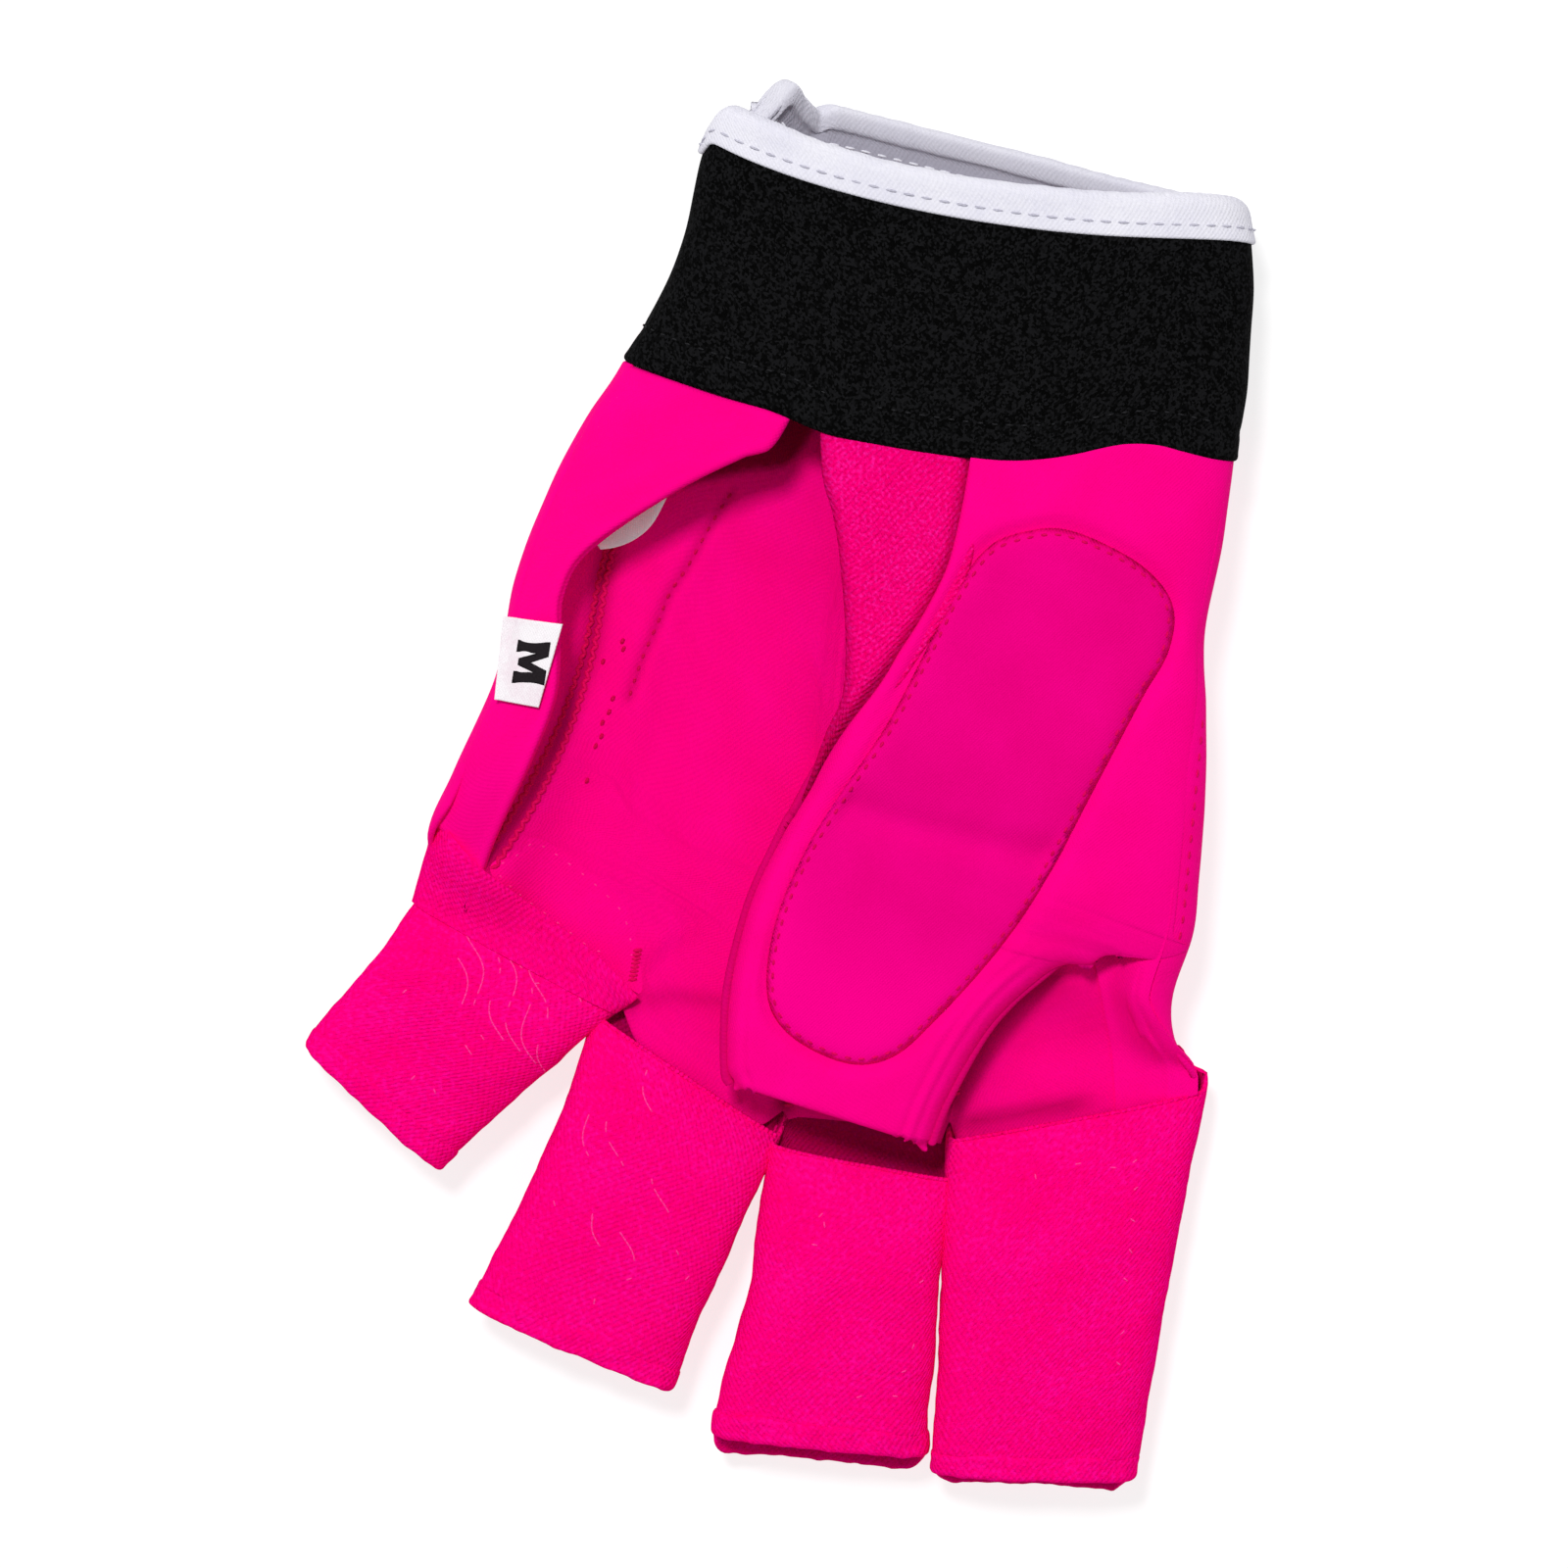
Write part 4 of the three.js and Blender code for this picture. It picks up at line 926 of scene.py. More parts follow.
def skin_right(v):
    rows = [(share, float(right_seam_x(np.array(y))), y) for share, y in SKIN_RIGHT_SIDE]
    rows = np.array(rows + [(share, *place) for share, place in SKIN_NOTCH + SKIN_THUMB])
    x, y = columns_at(rows[:, 0], rows[:, 1:], v)
    return np.where(v < SKIN_RIGHT_SIDE[-1][0], right_seam_x(y), x), y


skin_left_line = np.column_stack(skin_left(np.linspace(0, 1, 160)))
skin_right_line = np.column_stack(skin_right(np.linspace(0.6, 1, 120)))
oval_line = curve_through(traced(OVAL_PX), 0.8, closed=True)
crease_line = curve_through(traced(THUMB_CREASE_PX), 2.0)


def roll(gap, amount):
    """How far a free edge rolls down, at a distance from that edge."""
    inside = np.clip(1 - gap / ROLL_WIDTH, 0, 1)
    return amount * ROLL_DEPTH * (1 - np.sqrt(1 - inside**2 * 0.999))


def skin_height(x, y):
    """The palm's height, which goes on straight past the thumb's crease, with both free edges rolled down."""
    past = np.maximum(past_crease(x, y), 0)
    top = palm_height(x - past * THUMB_AXIS[0], y - past * THUMB_AXIS[1]) - THUMB_SLOPE * past
    plan = np.stack([x, y], -1)
    left_roll = roll(distance_to(plan, skin_left_line[::2]), ease((20 - y) / 22))
    right_roll = roll(distance_to(plan, skin_right_line[::2]), ease((past_crease(x, y) + 1.5) / 9))
    return top - np.maximum(left_roll, right_roll)


def skin_relief(points, u, v):
    """Waves, the oval pad's sunk seat, the thumb's crease, and the stitched folds beside both free edges."""
    plan, y = points[..., :2], points[..., 1]
    oval_gap = distance_to(plan, oval_line, True)
    under_pad = np.where(inside_of(plan, oval_line), ease(oval_gap / SEAT_EDGE), 0) * SEAT_DEPTH
    right_gap = distance_to(plan, skin_right_line)
    folds = sum(bell(right_gap - row, FOLD_WIDTH) for row in FOLD_ROWS) * FOLD_RISE
    folds = folds * ease((past_crease(points[..., 0], y) - 3) / 8)
    hem = bell(distance_to(plan, skin_left_line) - FOLD_ROWS[0], HEM_FOLD_WIDTH) * FOLD_RISE
    hem = hem * ease((22 - y) / 8)
    soft = ripples((30, 31, 0.2), (10, 32, 0.05))(points, u, v)
    crease = groove(points, crease_line, 3.0) * CREASE_DEPTH
    return soft - bell(oval_gap, 1.3) - under_pad - folds - crease - hem


def skin_lap(points):
    return np.maximum(ease((points[..., 0] - 32.5) / 3.5), ease((points[..., 1] - SEAM_LINE + 3) / 2))


skin = sheet("thumb_side_jersey", panel_place(skin_left, skin_right, skin_height), 84, 150, 2.0, NEOPRENE,
             skin_relief, flip=True, lap=skin_lap)

THUMB_BLEND_HEIGHT, THUMB_BLEND_LENGTH = 20.0, 13


def bend_thumb(piece, slot, *nodes):
    end = CREASE_MIDDLE + THUMB_AXIS * THUMB_BLEND_LENGTH
    bend(piece, "thumb", slot, (*CREASE_MIDDLE, THUMB_BLEND_HEIGHT), (*end, THUMB_BLEND_HEIGHT), *nodes)


bend_thumb(skin, "neoprene", "radial_palm_panel", "thumb_front")

# The strip beside the thumb's root, down to the index finger

STRIP_INNER = [(31.0, -11.0), (31.0, -15.5), (31.5, -19.8), (33.0, -23.6), (35.0, -29.0), (37.5, -36.0),
               (39.5, -44.5)]
STRIP_SIDE = [-9.0, -14.0, -18.6, -22.0, -27.0, -33.0, -39.5]
STRIP_END_Z = 11.2


def cover_edge(y):
    """The right edge of the back cover."""
    return wall(back_angles(np.ones_like(y), y, (0.0, -0.012)), y, 0.1)


def strip_outer(v):
    y = table_at([(y,) for y in STRIP_SIDE], v)[0]
    return cover_edge(y)[..., 0] + 0.1, y


def strip_height(x, y):
    """The cover's height at the side, and just over the lining at the inner edge."""
    low = heights_on(lining_tree, np.column_stack([x.ravel(), y.ravel()]), 0.6)[:, 2].reshape(x.shape)
    edge = cover_edge(y)
    inner = smooth_at([(at_y, at_x) for at_x, at_y in STRIP_INNER[::-1]], y)
    side = mix(edge[..., 2] + 0.3, STRIP_END_Z, ease((-33 - y) / 6))
    return np.maximum(low, mix(low, side, ease(((x - inner) / (edge[..., 0] - inner) - 0.1) / 0.8)))


strip_place = panel_place(lambda v: table_at(STRIP_INNER, v), strip_outer, strip_height, from_seam=False)
strip = sheet("web_side_strip", strip_place, 40, 60, 0.9, NEOPRENE, flip=True, lap=flat_all_round)
settle(strip, "shell", "neoprene")

# Back half of the thumb

THUMB_MIDDLE_Z, THUMB_BOTTOM_Z, THUMB_ROOT_SINK = 19.2, 13.6, 4.0
THUMB_BACK_ROOT = (-11.5, 2.5), (32.5, -10.5)
THUMB_BACK_INSET = 0.955


def thumb_back_place(u, v):
    left_x, left_y = table_at([THUMB_BACK_ROOT[0]] + [palm(share) for share in THUMB_LEFT], v)
    right_x, right_y = table_at([THUMB_BACK_ROOT[1]] + [palm(share) for share in THUMB_RIGHT], v)
    across = reach(np.cos(math.pi * (1 - u)), THUMB_POWER)
    rise = (1 - np.abs(across) ** THUMB_POWER) ** (1 / THUMB_POWER)
    inward = (1 + across * THUMB_BACK_INSET) / 2
    z = THUMB_MIDDLE_Z - (THUMB_MIDDLE_Z - THUMB_BOTTOM_Z) * rise - THUMB_ROOT_SINK * ease(1 - v / 0.3)
    return np.stack([mix(left_x, right_x, inward), mix(left_y, right_y, inward), z], -1)


# The thumb's back gets painted shade all over, darker as if in the shade under the thumb
thumb_back = sheet("thumb_back_jersey", thumb_back_place, 70, 70, 1.6, LINING, ripples((20, 51, 0.15)),
                   flip=True, shade=lambda points, u, v: 0.35 + 0 * u)
bend_thumb(thumb_back, "neoprene", "thumb_back")

# Oval pad over the thumb's flex crease

PAD_SINK, PAD_RISE, PAD_EDGE = 0.75, 1.1, 3.2


def oval_face(plan, gap):
    x, y = plan[:, 0], plan[:, 1]
    points = np.column_stack([x, y, skin_height(x, y)])
    dome = np.sqrt(1 - (1 - np.clip(gap / PAD_EDGE, 0, 1)) ** 2)
    crease = groove(points, crease_line, 2.6) * 0.9 + groove(points, crease_line, 8.0) * 0.9
    soft = waves(points, 22, 61) * 0.12 * ease(gap / 3)
    points[:, 2] += -PAD_SINK + PAD_RISE * dome - crease * ease(gap / 2) + soft
    return points


oval_border = curve_through(oval_line, 0.7, closed=True)
# Painted light: the pad is painted lighter past the thumb's crease towards its tip, so the crease side stays
# darker as if in shade
pad = grid_patch("thumb_oval_pad", oval_border, 0.9, oval_face, 1.0, PAD,
                 lambda points: ease((past_crease(points[:, 0], points[:, 1]) - 3) / 22) * 0.75)
bend_thumb(pad, "pad_fabric", "thumb_pad_root", "thumb_pad_tip")
pad_row = laid_on(tree_of(pad), shrunk(oval_border, 0.9))
bend_thumb(stitches("oval_pad_stitches", [pad_row], 2.0, 1.1, 0.22, DARK_PINK_THREAD, closed=True), "thread")

# Finger stalls


def direction(degrees):
    angle = math.radians(degrees)
    return np.array((-math.sin(angle), -math.cos(angle)))


def stall_shape(finger):
    """Corners and directions of a stall in the plan."""
    left, right = palm(finger["left"]), palm(finger["right"])
    inset = CROTCH_GAP / 2 / np.linalg.norm(right - left)
    lean, turn = direction(finger["lean"]), direction(finger["turn"])
    base_left = mix(left, right, inset) + lean * BASE_GAP
    base_right = mix(right, left, inset) + lean * BASE_GAP
    tip = (base_left + base_right) / 2 + lean * finger["length"]
    tip_across = np.array((-turn[1], turn[0]))
    across = unit(right - left)
    (out_left, out_right), (on_left, on_right) = finger["out"], finger["on"]
    return dict(finger, lean=lean, across=across,
                base_left=base_left - across * finger["base"][0],
                base_right=base_right + across * finger["base"][1],
                tip_left=tip - tip_across * (finger["tip"] / 2 + out_left) + lean * on_left,
                tip_right=tip + tip_across * (finger["tip"] / 2 + out_right) + lean * on_right)


STALLS = {name: stall_shape(finger) for name, finger in FINGERS.items()}
SEEDS = {name: sum(map(ord, name)) for name in FINGERS}


def stall_place(name, start, end, proud, mouth=0.0, late=0.0, drop=0.0):
    """Points of a stall's skin: u round its section from the left edge over the palm side, v along it."""
    stall = STALLS[name]
    mouth_top, middle_top, tip_top = stall["tops"]
    tops = [(-0.1, mouth_top), (0.04, mouth_top), (0.35, middle_top), (1.0, tip_top)]

    def place(u, v):
        angle = math.pi - 2 * math.pi * u
        dorsal = np.clip(-np.sin(angle), 0, 1)
        front = ease(np.clip(np.sin(angle) + 0.3, 0, 1) * 1.5)
        begun = late * front * mix(*stall["start"], (1 + np.cos(angle)) / 2)
        distance = mix(start + begun - mouth * ease(dorsal * 1.6), end + drop * ease(dorsal * 1.4), v)
        s = distance / stall["length"]
        swell, tuck = bell(s, SWELL_END), ease(-distance / TUCK_END)
        edges = []
        for side, way, more, less in zip(("left", "right"), (1, -1), stall["swell"], stall["tuck"]):
            line = mix(stall["base_" + side], stall["tip_" + side], s[..., None])
            edges.append(line - (more * swell - less * tuck)[..., None] * stall["across"] * way)
        left, right = edges
        half_height = (smooth_at(tops, s) - STALL_LEVEL) / 2
        half_width = np.linalg.norm(right - left, axis=-1) / 2
        sway = waves(np.stack([s * 30, np.sign(np.cos(angle)) * 9, 0 * s], -1), 16, SEEDS[name]) * 0.35
        across = reach(np.cos(angle), STALL_POWER) * (1 + (proud + sway) / half_width)
        plan = mix(left, right, ((1 + across) / 2)[..., None])
        z = STALL_LEVEL + half_height + reach(np.sin(angle), STALL_POWER) * (half_height + proud)
        return np.stack([plan[..., 0], plan[..., 1], z], -1)
    return place


FINGER_BLEND_HEIGHT, FINGER_BLEND_BEFORE, FINGER_BLEND_AFTER = 10.0, 0.5, 11.0


def bend_finger(piece, name, slot, *nodes):
    stall = STALLS[name]
    base = (stall["base_left"] + stall["base_right"]) / 2
    start, end = base - stall["lean"] * FINGER_BLEND_BEFORE, base + stall["lean"] * FINGER_BLEND_AFTER
    bend(piece, name + "_finger", slot, (*start, FINGER_BLEND_HEIGHT), (*end, FINGER_BLEND_HEIGHT), *nodes)


def make_finger(name):
    """A stall, the overlocked edge of its mouth and the hem at its tip. Gives the stall's search tree."""
    length, seed, drop = FINGERS[name]["length"], SEEDS[name], FINGERS[name]["drop"]

    def stall_relief(points, u, v):
        return ripples((11, seed + 1, 0.22), (3.2, seed + 2, 0.07))(points, u, v) * (0.4 + 0.6 * ease(v * 4))

    place = stall_place(name, 0.0, length - HEM_LENGTH + 0.4, 0.0, MOUTH_OVERLAP, 1.0)
    stall = sheet(name + "_stall_knit", place, 100, 56, 1.2, KNIT, stall_relief, flip=True, wrapped=True,
                  inner_shade=0.6)
    bend_finger(stall, name, "knit", name + "_stall")

    u = np.linspace(0.03, 0.47, 60)
    place = stall_place(name, 0.0, length, 0.0, late=1.0)
    path = place(u, np.zeros_like(u))
    up = np.cross(np.gradient(path, axis=0), place(u, np.full_like(u, 0.02)) - path)
    up = unit(up * np.where(up[:, 2:] > 0, 1, -1))
    overlock = stitches(name + "_mouth_overlock", [(path, up)], 0.8, 1.1, 0.36, KNIT, lift=-0.22)
    bend_finger(overlock, name, "thread")

    place = stall_place(name, length - HEM_LENGTH - 0.4, length + 0.4, 0.2, drop=drop)
    hem_relief = ripples((6, seed + 3, 0.22), (2.2, seed + 4, 0.1))
    hem = sheet(name + "_hem_knit", place, 120, 18, 1.7, KNIT, hem_relief, flip=True, wrapped=True, radius=0.9,
                inner_shade=0.3)
    settle(hem, name + "_finger", "knit", name + "_tip_hem")
    return tree_of(stall)


stall_trees = {name: make_finger(name) for name in FINGERS}

# The root of the little finger: a knit patch that climbs the side, and a facing on the lining

ROOT_HEIGHTS = [(0.0, 14.4), (0.06, 16.4), (0.16, 17.0), (0.27, 16.5), (0.38, 14.8), (0.52, 12.9),
                (1.0, 11.2)]
ROOT_SIDE_SHARE, ROOT_SIDE_Z, ROOT_SIDE_OUT, ROOT_LAP = 0.14, 7.5, 0.5, 2.2


def root_place(u, v):
    """The patch's face. Its first columns go down the outer side of the hand."""
    stall = STALLS["little"]
    side, u = ease(u / ROOT_SIDE_SHARE), np.clip((u - ROOT_SIDE_SHARE) / (1 - ROOT_SIDE_SHARE), 0, 1)
    edge = curve_through(traced(ROOT_EDGE_PX), 0.5)
    top_x, top_y = (np.interp(u, np.linspace(0, 1, len(edge)), column) for column in edge.T)
    end = mix(stall["base_left"], stall["base_right"], u[..., None]) + stall["lean"] * ROOT_LAP
    half = (stall["tops"][0] - STALL_LEVEL) / 2
    end_z = STALL_LEVEL + half + half * (1 - np.abs(2 * u - 1) ** STALL_POWER) ** (1 / STALL_POWER) + 0.5
    z = mix(ROOT_SIDE_Z, mix(smooth_at(ROOT_HEIGHTS, u), end_z, ease(v * 1.05)), side)
    x = mix(top_x, end[..., 0], v) - ROOT_SIDE_OUT * (1 - side)
    return np.stack([x, mix(top_y, end[..., 1], v), z], -1)


root = sheet("little_root_knit", root_place, 70, 34, 1.1, KNIT, ripples((10, 91, 0.2), (3.2, 92, 0.07)),
             flip=True, lap=flat_all_round)
bend_finger(root, "little", "knit")

facing_border = curve_through(traced(FACING_PX), 0.8, closed=True)
FACING_SEWN_TO_Y = -33


def facing_face(plan, gap):
    return heights_on(lining_tree, plan, 0.02 + 0.22 * np.clip(gap / 3.0, 0, 1))


facing = grid_patch("little_root_facing", facing_border, 1.0, facing_face, 0.4, LINING, creased=True)
settle(facing, "shell", "lining")
path, up = laid_on(tree_of(facing), shrunk(facing_border, 0.9))
keep = path[:, 1] > FACING_SEWN_TO_Y
sew("little_root_stitches", [(path[keep], up[keep])], 2.4, 0.7, 0.14, PINK_THREAD, lift=-0.08)

# Sewn lines on the lining

OVERLOCK_WIDTHS = [(0.0, 0.9), (0.4, 1.5), (0.8, 2.2), (1.0, 2.0)]
sew("lining_seam_stitches", [laid_on(lining_tree, lining_seam)], 1.9, 1.0, 0.24, DEEP_THREAD, lift=-0.05)
path, _ = laid_on(lining_tree, overlock_line)
steps = np.gradient(path, axis=0)
beside = unit(np.column_stack([steps[:, 1], -steps[:, 0]]))
half_widths = smooth_at(OVERLOCK_WIDTHS, np.linspace(0, 1, len(path)))[:, None] / 2
for number, side, material in ((1, -1, DARK_PINK_THREAD), (2, 1, DEEP_THREAD)):
    row = laid_on(lining_tree, path[:, :2] + beside * half_widths * side)
    sew(f"overlock_row_{number}", [row], 0.8, 1.8, 0.34, material, slant=0.7)
path, up = laid_on(lining_tree, traced(DOTS_PX))
along = np.tile((0.3, 0.95, 0.0), (len(path), 1))
ends = capsules("lining_thread_ends", path, along, np.cross(up, along), up, 1.1, 0.3, DEEP_THREAD)
settle(ends, "shell", "thread")

# Raised silicone marks on the stalls

GEL_SWING, GEL_PERIOD, GEL_STEP, GEL_LENGTH, GEL_RADIUS = 1.1, 13.0, 0.75, 1.0, 0.13
GEL_HEADING = np.array((0.255, -0.967))


def gel_rows(name, tree):
    """Places, normals and directions of a stall's silicone marks: worn wavy lines, then single marks."""
    starts, length, left_over = GEL_LINES.get(name, ([], 0, 0))
    beside = np.array((GEL_HEADING[1], -GEL_HEADING[0]))
    chance = np.random.default_rng(200 + len(name) * 7)
    for start in traced(starts) if starts else ():
        t = np.arange(0, length, GEL_STEP)
        swing = GEL_SWING * np.sin(2 * math.pi * t / GEL_PERIOD)
        path, up = laid_on(tree, start + GEL_HEADING * t[:, None] + beside * swing[:, None])
        worn = np.sin(t[:len(path)] / 2.3 + chance.uniform(0, 6)) * 0.5 + chance.uniform(-0.3, 0.3, len(path))
        chosen = worn < left_over * 2 - 1
        yield path[chosen], up[chosen], np.gradient(path, axis=0)[chosen]
    path, up = laid_on(tree, traced(GEL_DOTS[name]))
    yield path, up, np.column_stack([chance.normal(size=(len(path), 2)), np.zeros(len(path))])


for name, tree in stall_trees.items():
    path, up, steps = (np.vstack(parts) for parts in zip(*gel_rows(name, tree)))
    steps = unit(steps)
    marks = capsules(name + "_silicone_marks", path, steps, np.cross(up, steps), up, GEL_LENGTH, GEL_RADIUS,
                     SILICONE)
    bend_finger(marks, name, "thread")

# Cuff: an elastic band and the white tape over its mouth

# The fold, the lobe and the crease beside it, and the notch at the left corner of the cuff's mouth
MOUTH_FOLD, LOBE_AT, LOBE_WIDTH, LOBE_RISE, LOBE_LIFT = 5.4, 0.91, 0.075, 4.4, 1.8
BESIDE_LOBE, BESIDE_WIDTH, BESIDE_DROP = 0.2, 0.05, 1.1
NOTCH_DEPTH, NOTCH_SIDE, NOTCH_WIDTH = 4.0, 0.1, 0.36
CUFF_LAP, CUFF_SHORT, CUFF_PROUD, CUFF_ROW_UP = 0.7, 3.6, 0.1, 4.6
WRIST_START, WRIST_END = (0, 54.0, 15.0), (0, 70.0, 15.0)
# The tape's section: depth under the cuff's face and place past its rim
BINDING_PROFILE = [(-0.7, -5.7), (-0.8, -3.2), (-0.9, -1.0), (-0.4, 0.1), (0.8, 0.5), (2.2, 0.1), (2.8, -1.0),
                   (3.0, -2.8), (2.3, -3.5), (2.4, -6.0), (2.6, -13.0)]


def cuff_angle(u):
    return math.pi - 2 * math.pi * u


def folded(points, angle):
    """Folds the back of the mouth in at its left corner, where it makes a round lobe."""
    behind, left = np.clip(-np.sin(angle), 0, 1), np.clip(-np.cos(angle), 0, 1)
    near_rim = ease((points[..., 1] - RIM_LINE + 9) / 14)
    at_back = ease(behind * 2.2) * near_rim
    lobe = bell(left - LOBE_AT, LOBE_WIDTH) * at_back
    beside = bell(left - LOBE_AT + BESIDE_LOBE, BESIDE_WIDTH) * at_back
    notch = np.exp(-(((np.sin(angle) + NOTCH_SIDE) / NOTCH_WIDTH) ** 4)) * ease(left * 2 - 0.6) * near_rim
    inward = MOUTH_FOLD * at_back * ease(left * 1.3)
    rise = LOBE_RISE * lobe - BESIDE_DROP * beside - NOTCH_DEPTH * notch
    return points + np.stack([inward, rise, LOBE_LIFT * lobe - beside], -1)


def seam_at(angle):
    return seam_y(wall(angle, np.full(angle.shape, SEAM_LINE), 0)[..., 0])


def cuff_place(u, v):
    angle = cuff_angle(u)
    y = mix(seam_at(angle) - CUFF_LAP, rim_y(angle) - CUFF_SHORT, v)
    return folded(wall(angle, y, -CUFF_PROUD), angle)


def cuff_relief(points, u, v):
    """A bead at the lower edge, the dip of the seam's stitches and soft waves."""
    sewn = bell(v * CUFF_LENGTH, 1.0) - bell(v * CUFF_LENGTH - 5.0, 0.9)
    return sewn * 0.15 + waves(points, 26, 71) * 0.3 + waves(points, 8, 72) * 0.08


def binding_place(u, v):
    angle = cuff_angle(u)
    depth, offset = table_at(BINDING_PROFILE, v)
    return folded(wall(angle, rim_y(angle) + offset, depth), angle)


def binding_relief(points, u, v):
    puckers = np.sin(u * 2 * math.pi * 62 + 3 * np.sin(u * 20)) * 0.05
    return puckers + waves(points, 9, 81) * 0.12


def binding_shade(points, u, v):
    """The inner face of the tape lies in the cuff's own shade, more so down in the mouth and at the fold."""
    at_back = ease(-np.sin(cuff_angle(u)) * 3)
    return at_back * (ease((v - 0.5) / 0.12) * (0.4 + 0.5 * ease((v - 0.6) / 0.3)) + 0.12)


cuff = sheet("cuff_elastic", cuff_place, 220, 60, 1.6, ELASTIC, cuff_relief, wrapped=True)
bend(cuff, "cuff", "elastic", WRIST_START, WRIST_END, "cuff_band")
binding = sheet("cuff_binding_tape", binding_place, 240, 44, 0.8, BINDING, binding_relief, wrapped=True,
                shade=binding_shade)
settle(binding, "cuff", "binding", "cuff_binding")


def round_row(place_at, way=1, step=0.004):
    """Points and normals along a closed row round the cuff."""
    u = np.arange(0, 1, step)
    here = place_at(u)
    return here, unit(np.cross(place_at(u + 1e-3) - here, place_at(u, 0.3) - here)) * way


def rim_row(depth, below):
    def at(u, up=0.0):
        angle = cuff_angle(u)
        return folded(wall(angle, rim_y(angle) - below + up, depth), angle)
    return at


def cuff_row(u, up=0.0):
    angle = cuff_angle(u)
    return wall(angle, seam_at(angle) + CUFF_ROW_UP + up, -CUFF_PROUD)


for side, depth, below, way, pitch, radius, material in (("outer", -0.9, 3.7, 1, 2.6, 0.17, WHITE_THREAD),
                                                         ("inner", 2.45, 5.2, -1, 2.4, 0.2, LIGHT_THREAD)):
    row = round_row(rim_row(depth, below), way)
    sew(f"binding_{side}_stitches", [row], pitch, 1.6, radius, material, "cuff", closed=True)
bend(stitches("cuff_seam_stitches", [round_row(cuff_row)], 2.1, 0.9, 0.15, BLACK_THREAD, closed=True),
     "cuff", "thread", WRIST_START, WRIST_END)

# Size tag and care label

TAG_THICKNESS, TAG_LIFT, TAG_SEWN_X = 0.4, 1.2, -59.5
TAG_LOW, TAG_HIGH = np.array(((-60.4, 3.1), (-53.9, 3.1))), np.array(((-61.0, 15.2), (-52.3, 15.7)))
LETTER_UP, LETTER_READING = np.array((1.0, 0.05)), np.array((-0.15, 0.98))
LETTER_HEIGHT, LETTER_WIDTH = 4.8, 6.4
LETTER_OUTLINE = [(0, 0), (0, 1), (0.34, 1), (0.5, 0.5), (0.66, 1), (1, 1), (1, 0), (0.72, 0), (0.72, 0.6),
                  (0.58, 0.1), (0.42, 0.1), (0.28, 0.6), (0.28, 0)]
CARE_WIDTH, CARE_LENGTH, CARE_SHOWN, CARE_LEVEL = 12.4, 11.0, 1.9, 14.0


def tag_place(u, v):
    """The tag lies over the panel's side, and its left edge curls up."""
    plan = mix(mix(*TAG_LOW, u[..., None]), mix(*TAG_HIGH, u[..., None]), v[..., None])
    curl = 0.5 * (1 - u) ** 2 + 0.25 * np.sin(v * math.pi * 1.4 + 0.4) * (1 - u)
    z = palm_height(np.maximum(plan[..., 0], TAG_SEWN_X), plan[..., 1]) + TAG_LIFT + curl
    return np.concatenate([plan, z[..., None]], -1)


tag = sheet("size_tag_tape", tag_place, 26, 34, TAG_THICKNESS, TAG)
settle(tag, "size_tag_body", "label", "size_tag")
tag_tree = tree_of(tag)
reading, rise = (np.array(LETTER_OUTLINE, float) - 0.5).T[..., None]
letter_line = LETTER_READING * reading * LETTER_WIDTH + LETTER_UP * rise * LETTER_HEIGHT
letter = grid_patch("size_tag_letter", traced(np.array(LETTER_PX) + PHOTO_SCALE * letter_line), 0.5,
                    lambda plan, gap: heights_on(tag_tree, plan, 0.06), 0.1, INK)
settle(letter, "size_tag_body", "label")

care_start, care_end = traced(CARE_EDGE_PX)
care_along = unit(care_end - care_start)
care_out = np.array((care_along[1], -care_along[0]))


def care_place(u, v):
    """The care label comes out from under the panel's edge and curls up at its free side."""
    free = CARE_SHOWN * (0.2 + 1.3 * np.sin(math.pi * (0.1 + 0.9 * u)))
    out = mix(CARE_SHOWN - CARE_LENGTH, free, v)[..., None]
    z = CARE_LEVEL + 0.6 * np.sin(u * 9 + 1) * v + 1.4 * ease(v * 2 - 1)
    plan = care_start + care_along * (u * CARE_WIDTH)[..., None] + care_out * out
    return np.concatenate([plan, z[..., None]], -1)


care = sheet("care_label_tape", care_place, 30, 24, 0.35, CARE, flip=True)
settle(care, "shell", "label", "care_label")

# Pads on the back of the hand, blown up from their solids as cloth

PAD_SCALE, PAD_VOXEL, PAD_INSET, PAD_CAP, PAD_PRESSURE, PAD_FRAMES = 20.0, 1.25, 0.45, 1.0, 4.0, 20
REST_LIFT = 0.02
BACK_PADS = sorted(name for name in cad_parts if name.startswith(("metacarpal_pad", "knuckle_pad")))
FINGER_PADS = [name + "_back_pad" for name in FINGERS]


def mesh_points(mesh):
    points = np.empty(len(mesh.vertices) * 3, np.float32)
    mesh.vertices.foreach_get("co", points)
    return points.reshape(-1, 3).astype(float)


def finished_mesh(piece):
    """The mesh of a piece with its modifiers worked out."""
    return bpy.data.meshes.new_from_object(piece.evaluated_get(bpy.context.evaluated_depsgraph_get()))


def with_modifier(piece, kind, **settings):
    modifier = piece.modifiers.new(kind.lower(), kind)
    for setting, value in settings.items():
        setattr(modifier, setting, value)
    return modifier


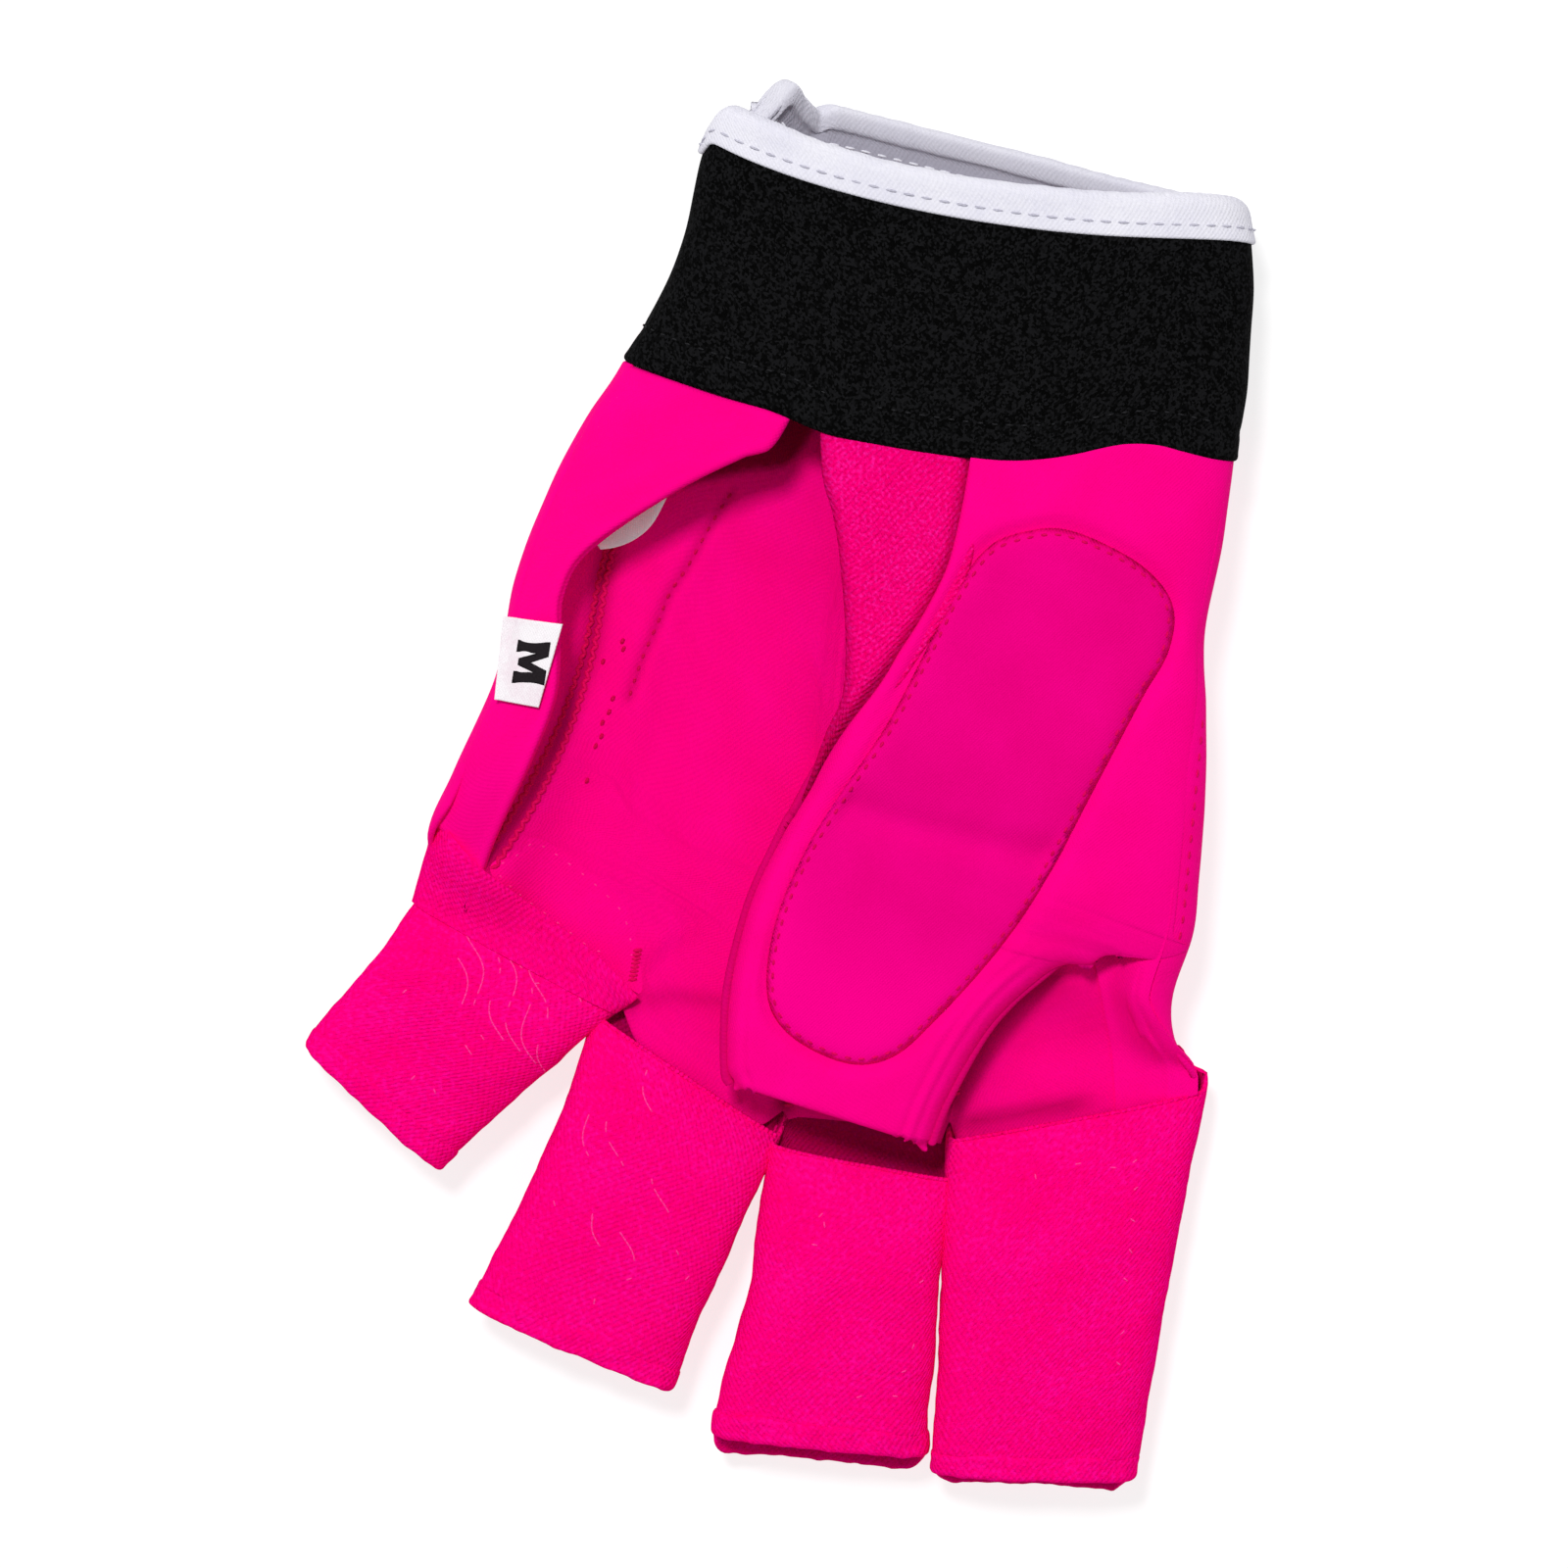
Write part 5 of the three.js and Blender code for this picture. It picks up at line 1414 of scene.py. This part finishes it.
def remeshed(node):
    """A pad's solid, drawn in a little and enlarged to the size of a cushion, in even small faces."""
    points = mesh_points(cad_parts[node].data) / MM
    middle = (points.max(0) + points.min(0)) / 2
    half = (points.max(0) - points.min(0)) / 2
    points = (points - middle) * (1 - PAD_INSET / half)
    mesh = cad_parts[node].data.copy()
    mesh.vertices.foreach_set("co", (points * PAD_SCALE * MM).astype(np.float32).ravel())
    copy = bpy.data.objects.new(node + "_solid", mesh)
    bpy.context.scene.collection.objects.link(copy)
    with_modifier(copy, "REMESH", mode="VOXEL", voxel_size=PAD_VOXEL * PAD_SCALE * MM)
    cushion = bpy.data.objects.new(node + "_cloth", finished_mesh(copy))
    bpy.data.objects.remove(copy)
    bpy.context.scene.collection.objects.link(cushion)
    return cushion, middle


def blown_up(cushions):
    """Inflates the cushions as cloth, all at once, with no gravity."""
    for cushion in cushions:
        cloth = with_modifier(cushion, "CLOTH")
        cloth.settings.quality = 5
        cloth.settings.use_pressure = True
        cloth.settings.uniform_pressure_force = PAD_PRESSURE
        cloth.settings.effector_weights.gravity = 0
        cloth.point_cache.frame_start, cloth.point_cache.frame_end = 1, PAD_FRAMES
    for number in range(1, PAD_FRAMES + 1):
        bpy.context.scene.frame_set(number)
    swollen = [mesh_points(finished_mesh(cushion)) for cushion in cushions]
    bpy.context.scene.frame_set(1)
    return swollen


def cushion_pads(nodes):
    """Padded pieces for the pads' solids, each capped in how far it swells and flat where it rests."""
    cushions = [remeshed(node) for node in nodes]
    starts = [mesh_points(cushion.data) for cushion, _ in cushions]
    ends = blown_up([cushion for cushion, _ in cushions])
    made = {}
    for node, (cushion, middle), start, end in zip(nodes, cushions, starts, ends):
        moved = (end - start) / MM / PAD_SCALE
        far = np.linalg.norm(moved, axis=1, keepdims=True)
        points = start / MM / PAD_SCALE + moved * np.minimum(1, PAD_CAP / np.maximum(far, 1e-9)) + middle
        cushion.modifiers.clear()
        cushion.data.vertices.foreach_set("co", points.astype(np.float32).ravel())
        with_modifier(cushion, "SUBSURF", levels=1)
        mesh = finished_mesh(cushion)
        points = mesh_points(mesh)
        points[:, 2] = np.maximum(points[:, 2], REST_LIFT)
        corners = np.empty(len(mesh.loops), np.int32)
        mesh.loops.foreach_get("vertex_index", corners)
        bpy.data.objects.remove(cushion)
        made[node] = make_piece(node + "_cushion", points, corners.reshape(-1, 4), NEOPRENE)
        body = node.replace("_back_pad", "_finger") if node in FINGER_PADS else "shell"
        settle(made[node], body, "pad_fabric", node)
    return made


def hull_of(points):
    """The hull of sorted plan points."""
    halves = []
    for run in (points, points[::-1]):
        hull = []
        for x, y in run:
            while len(hull) > 1:
                (ax, ay), (bx, by) = hull[-2:]
                if (bx - ax) * (y - ay) - (by - ay) * (x - ax) > 0:
                    break
                hull.pop()
            hull.append((x, y))
        halves += hull[:-1]
    return np.array(halves)


def sew_pads(name, tree, nodes, body):
    """Rows of stitches round pads, on the surface that carries them, seen from the back."""
    rows = []
    for node in nodes:
        hull = hull_of(sorted(map(tuple, np.round(mesh_points(cushions[node].data)[:, :2] / MM, 2))))
        closed = np.vstack([hull, hull[:1]])
        lengths = lengths_along(closed)
        border = read_along(closed, lengths, np.arange(0, lengths[-1], 1.0))
        rows.append(laid_on(tree, shrunk(border, -0.5), above=False))
    sew(name, rows, 2.4, 1.5, 0.2, PINK_THREAD, body, closed=True)


cushions = cushion_pads(BACK_PADS + FINGER_PADS)
sew_pads("back_pad_stitches", tree_of(cover), BACK_PADS, "shell")
for name, tree in stall_trees.items():
    sew_pads(name + "_pad_stitches", tree, [name + "_back_pad"], name + "_finger")

# Bar tacks where the fingers part, and the sewn row along the outer side seam

TACK_TURNS, TACK_INSET = 8, 0.3
SIDE_ROW_START, SIDE_ROW_END, SIDE_ROW_OUT = 17.0, -17.0, 0.022
for node in sorted(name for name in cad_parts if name.startswith("bar_tack")):
    low, high = (np.array(corner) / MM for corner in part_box(node))
    y = np.linspace(low[1] + TACK_INSET, high[1] - TACK_INSET, TACK_TURNS)
    path, up = laid_on(lining_tree, np.column_stack([np.full(TACK_TURNS, (low[0] + high[0]) / 2), y]))
    across = np.tile((1.0, 0.25, 0.0), (len(path), 1))
    width = high[0] - low[0]
    tack = capsules(node + "_thread", path, across, np.cross(up, across), up, width, 0.3, DARK_PINK_THREAD)
    settle(tack, "shell", "thread", node)

side_y = np.arange(SIDE_ROW_END, SIDE_ROW_START, 0.8)
plan = np.column_stack([side_x(side_y, 1, smooth_at(RIGHT_SEAM_SHARES, side_y) + SIDE_ROW_OUT), side_y])
sew("side_seam_stitches", [laid_on(tree_of(cover, skin), plan)], 2.3, 1.4, 0.2, DARK_PINK_THREAD)

# Floor, light and camera

FLOOR_GLOW, FLOOR_SIZE, FLOOR_DROP, WORLD_STRENGTH = 0.75, 6.0, 0.0002, 0.42
VIEW_CENTRE, VIEW_HEIGHT = (-0.0169, -0.0027), 0.020
LENS, SENSOR, FIELD = 150.0, 36.0, 1600 / PHOTO_SCALE * MM
CAMERA_TILT = math.radians(-6.0)


def floor_material():
    """Plain pale paper, with a faint glow so that it comes out as white as the photograph's ground."""
    look = Look("floor_paper", (0.9, 0.9, 0.9), 0.9, 0.1)
    grain = look.noise(40, 2.0, look.add("TexCoord", {}).outputs["Object"])
    look.colour("Base Color", look.ramp(grain, [(0.3, (0.3, 0.3, 0.303)), (0.7, (0.31, 0.31, 0.31))]))
    look.shader.inputs["Emission Color"].default_value = (1, 1, 1, 1)
    look.shader.inputs["Emission Strength"].default_value = FLOOR_GLOW
    return look.material


def area_light(name, location, size, power):
    """A soft square light that points at the glove."""
    light = bpy.data.lights.new(name, "AREA")
    light.size = size
    light.energy = power
    lamp = bpy.data.objects.new(name, light)
    lamp.location = location
    lamp.rotation_mode = "QUATERNION"
    lamp.rotation_quaternion = (-Vector(location)).to_track_quat("-Z", "Y")
    bpy.context.scene.collection.objects.link(lamp)


bpy.ops.mesh.primitive_plane_add(size=FLOOR_SIZE, location=(0, 0, -FLOOR_DROP))
floor = bpy.context.object
floor.name = "floor"
floor.data.materials.append(floor_material())

world = bpy.data.worlds.new("studio")
bpy.context.scene.world = world
world.use_nodes = True
background = world.node_tree.nodes["Background"].inputs
background["Color"].default_value = (1, 1, 1, 1)
background["Strength"].default_value = WORLD_STRENGTH
area_light("key", (-0.45, 0.75, 1.75), 0.3, 27)
area_light("fill", (0.9, -0.5, 1.5), 1.2, 2)

camera_data = bpy.data.cameras.new("camera")
camera_data.lens = LENS
camera_data.sensor_width = SENSOR
camera = bpy.data.objects.new("camera", camera_data)
lean = Matrix.Rotation(PHOTO_TURN, 3, "Z") @ Matrix.Rotation(CAMERA_TILT, 3, "X")
camera.location = Vector((*VIEW_CENTRE, VIEW_HEIGHT)) + lean @ Vector((0, 0, FIELD * LENS / SENSOR))
camera.rotation_euler = lean.to_euler()
bpy.context.scene.collection.objects.link(camera)
bpy.context.scene.camera = camera
bpy.context.scene.view_settings.view_transform = "Standard"
